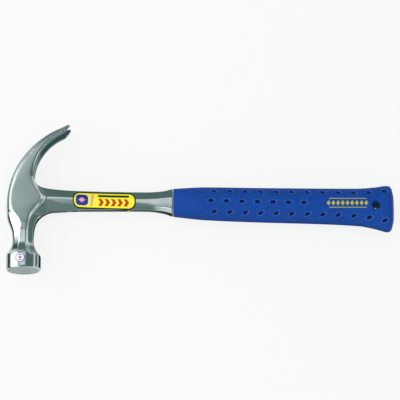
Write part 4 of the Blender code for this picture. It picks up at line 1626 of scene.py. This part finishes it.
@dataclass(frozen=True)
class Card:
    """A graduated grey card, as photographers stand round bright metal to draw its edges, in metres.

    The steel reflects it. It throws no light or shadow, and the floor and the white backdrop beside it stay
    in the reflections.
    """

    name: str
    place: Point
    width: float
    height: float
    soft: float
    colour: str

    def towards(self) -> Vector:
        """Return the way that the card faces, which is to the hammer."""
        return -Vector(self.place)

    def material(self) -> Material:
        """Build the nodes of grey card stock, whose spray-painted edge fades out.

        Returns:
            The material.
        """
        material, tree = new_material(self.name + "_stock")
        place = add_node(tree, "TexCoord").outputs["Object"]
        reach = add_node(tree, "VectorMath", {0: place}, operation="ABSOLUTE")
        axes = add_node(tree, "SeparateXYZ", {0: reach})
        shares = {}
        for axis, size in enumerate((self.width, self.height)):
            fade = {"Value": axes.outputs[axis], "From Min": 0.5 * size, "From Max": 0.5 * size - self.soft}
            shares[axis] = add_node(tree, "MapRange", fade, interpolation_type="SMOOTHSTEP")
        share = add_node(tree, "Math", shares, operation="MULTIPLY")
        clear = add_node(tree, "BsdfTransparent")
        grey = add_node(tree, "Emission", {"Color": to_linear(self.colour), "Strength": 1.0})
        mix = add_node(tree, "MixShader", {0: share, 1: clear, 2: grey})
        add_node(tree, "OutputMaterial", {"Surface": mix})
        material.cycles.emission_sampling = "NONE"
        return material

    def build(self) -> None:
        """Set the card up where only reflections show it."""
        x, y = 0.5 * self.width, 0.5 * self.height
        mesh = bpy.data.meshes.new(self.name)
        mesh.from_pydata([(-x, -y, 0.0), (x, -y, 0.0), (x, y, 0.0), (-x, y, 0.0)], [], [(0, 1, 2, 3)])
        mesh.materials.append(self.material())
        card = linked(self.name, mesh)
        card.location = self.place
        card.rotation_euler = turn_to(self.towards())
        for ray in ("camera", "diffuse", "transmission", "shadow"):
            setattr(card, "visible_" + ray, False)


@dataclass(frozen=True)
class PaintedShadeStrip(Card):
    """A dark strip, seen only in the steel's reflections, laid on the floor close to the hammer: painted
    shade that draws dark lines along its rims.
    """

    colour: str = "#2E3A38"

    def towards(self) -> Vector:
        """Return the way that the strip faces, which is up."""
        return Vector((0.0, 0.0, 1.0))


@dataclass(frozen=True)
class Softbox:
    """A long softbox beside the hammer, which draws a long highlight along its steel, in metres and watts."""

    place: Point = (-1.3, -0.1, 0.68)
    length: float = 2.4
    height: float = 1.3
    power: float = 14.5

    def build(self) -> None:
        """Hang the softbox so that it faces the hammer."""
        data = bpy.data.lights.new("softbox", "AREA")
        data.shape = "RECTANGLE"
        data.size = self.length
        data.size_y = self.height
        data.energy = self.power
        lamp = linked("softbox", data)
        lamp.location = self.place
        lamp.rotation_euler = turn_to(self.place)
        lamp.visible_camera = False


@dataclass(frozen=True)
class TopLight:
    """A wide soft light from above, even all over the floor and too diffused to show in the steel."""

    towards: Point = (0.1, -0.25, 1.0)
    strength: float = 1.05
    spread: float = math.radians(80.0)

    def build(self) -> None:
        """Hang the light."""
        data = bpy.data.lights.new("top_light", "SUN")
        data.energy = self.strength
        data.angle = self.spread
        lamp = linked("top_light", data)
        lamp.rotation_euler = turn_to(self.towards)
        lamp.visible_glossy = False


@dataclass(frozen=True)
class Studio:
    """Pale floor, white backdrop, soft light, cards, strips of painted shade on the floor and the camera, in
    metres.
    """

    floor_colour: str = "#E6E9E7"
    floor_size: float = 60.0
    floor_white: float = 0.82
    mirrored_white: float = 0.42
    white: str = "#FFFFFF"
    fill: float = 0.43
    softbox: Softbox = Softbox()
    top_light: TopLight = TopLight()
    cards: tuple[Card, ...] = (
        # Grey cards that give the steel its darker tones, from the right, the back, above and the front
        Card("card_right", (1.415, 0.291, 1.496), 2.6, 3.1, 0.6, "#667B78"),
        Card("card_back", (0.0, 1.75, 0.75), 3.8, 2.6, 0.5, "#667D79"),
        Card("card_top", (0.2, -0.69, 1.89), 3.2, 2.3, 0.5, "#7F9491"),
        Card("card_front", (0.814, -1.583, 1.113), 4.4, 2.0, 0.4, "#6D8380"),
        # Dark strips of painted shade on the floor beside the bell and neck, the shank and the grip
        PaintedShadeStrip("strip_left", (-0.30, -0.02, 0.001), 0.24, 0.22, 0.02),
        PaintedShadeStrip("strip_neck", (-0.1215, -0.037, 0.001), 0.037, 0.05, 0.005),
        PaintedShadeStrip("strip_below", (0.05, -0.0375, 0.001), 0.24, 0.055, 0.006),
        PaintedShadeStrip("strip_above", (0.035, 0.022, 0.001), 0.27, 0.03, 0.005),
        PaintedShadeStrip("strip_shank", (-0.086, -0.0145, 0.001), 0.052, 0.014, 0.004),
        # Dark bar over the softbox, between its light and the white backdrop
        Card("card_gap", (-0.885, -0.12, 1.442), 1.3, 0.28, 0.08, "#3A4644"),
    )
    distance: float = 2.5
    view_width: float = 0.3414
    sensor: float = 36.0
    clip_end: float = 100.0
    elevation: float = math.radians(75.0)
    aim: Point = (-0.0001, -0.0013, 0.0147)

    def camera(self) -> None:
        """Place the camera at the photograph's viewing angle."""
        data = bpy.data.cameras.new("camera")
        data.sensor_width = self.sensor
        data.lens = self.sensor * self.distance / self.view_width
        data.clip_end = self.clip_end
        camera = linked("camera", data)
        towards = Vector((0.0, -math.cos(self.elevation), math.sin(self.elevation)))
        camera.location = Vector(self.aim) + towards * self.distance
        camera.rotation_euler = turn_to(towards)
        bpy.context.scene.camera = camera

    def seen(self, tree: NodeTree, camera: float, mirrored: float) -> Node:
        """Return how much of its own white a surface shows.

        Args:
            tree: the surface's node tree.
            camera: the share that the camera sees.
            mirrored: the share that metal and glass show.

        Returns:
            A node that gives the share, which is 0 for rays of light.
        """
        rays = add_node(tree, "LightPath").outputs
        through = {0: rays["Is Glossy Ray"], 1: rays["Is Transmission Ray"]}
        shown = add_node(tree, "Math", through, operation="MAXIMUM")
        weak = add_node(tree, "Math", {0: shown, 1: mirrored}, operation="MULTIPLY")
        both = {0: rays["Is Camera Ray"], 1: camera, 2: weak}
        return add_node(tree, "Math", both, operation="MULTIPLY_ADD")

    def floor(self) -> None:
        """Lay the floor, which keeps the hammer's shadow."""
        bpy.ops.mesh.primitive_plane_add(size=self.floor_size)
        plane = bpy.context.object
        plane.name = "floor"
        material, tree = new_material("pale_studio_paper")
        diffuse = add_node(tree, "BsdfDiffuse", {"Color": to_linear(self.floor_colour)})
        glow = add_node(tree, "Emission", {"Color": to_linear(self.white), "Strength": 1.0})
        share = self.seen(tree, self.floor_white, self.mirrored_white)
        mix = add_node(tree, "MixShader", {0: share, 1: diffuse, 2: glow})
        add_node(tree, "OutputMaterial", {"Surface": mix})
        plane.data.materials.append(material)

    def world(self) -> None:
        """Make the white backdrop and the plain fill light."""
        world = bpy.data.worlds.new("studio")
        bpy.context.scene.world = world
        world.use_nodes = True
        tree = world.node_tree
        tree.nodes.clear()
        shown = self.seen(tree, 1.0, 1.0)
        level = add_node(tree, "MapRange", {"Value": shown, "To Min": self.fill, "To Max": 1.0})
        light = add_node(tree, "Background", {"Color": to_linear(self.white), "Strength": level})
        add_node(tree, "OutputWorld", {"Surface": light})

    def build(self) -> None:
        """Set up the whole studio."""
        bpy.context.scene.view_settings.view_transform = "Standard"
        self.floor()
        self.world()
        self.softbox.build()
        self.top_light.build()
        for card in self.cards:
            card.build()
        self.camera()


def main() -> None:
    """Build the hammer piece by piece, then the studio."""
    logging.basicConfig(level=logging.INFO, format="%(message)s")
    Forging().build()
    VinylGrip().build()
    ShankLabel().build()
    BellSticker().build()
    GripStamp().build()
    Studio().build()
    LOG.info("sizes written")


if __name__ == "__main__":
    main()
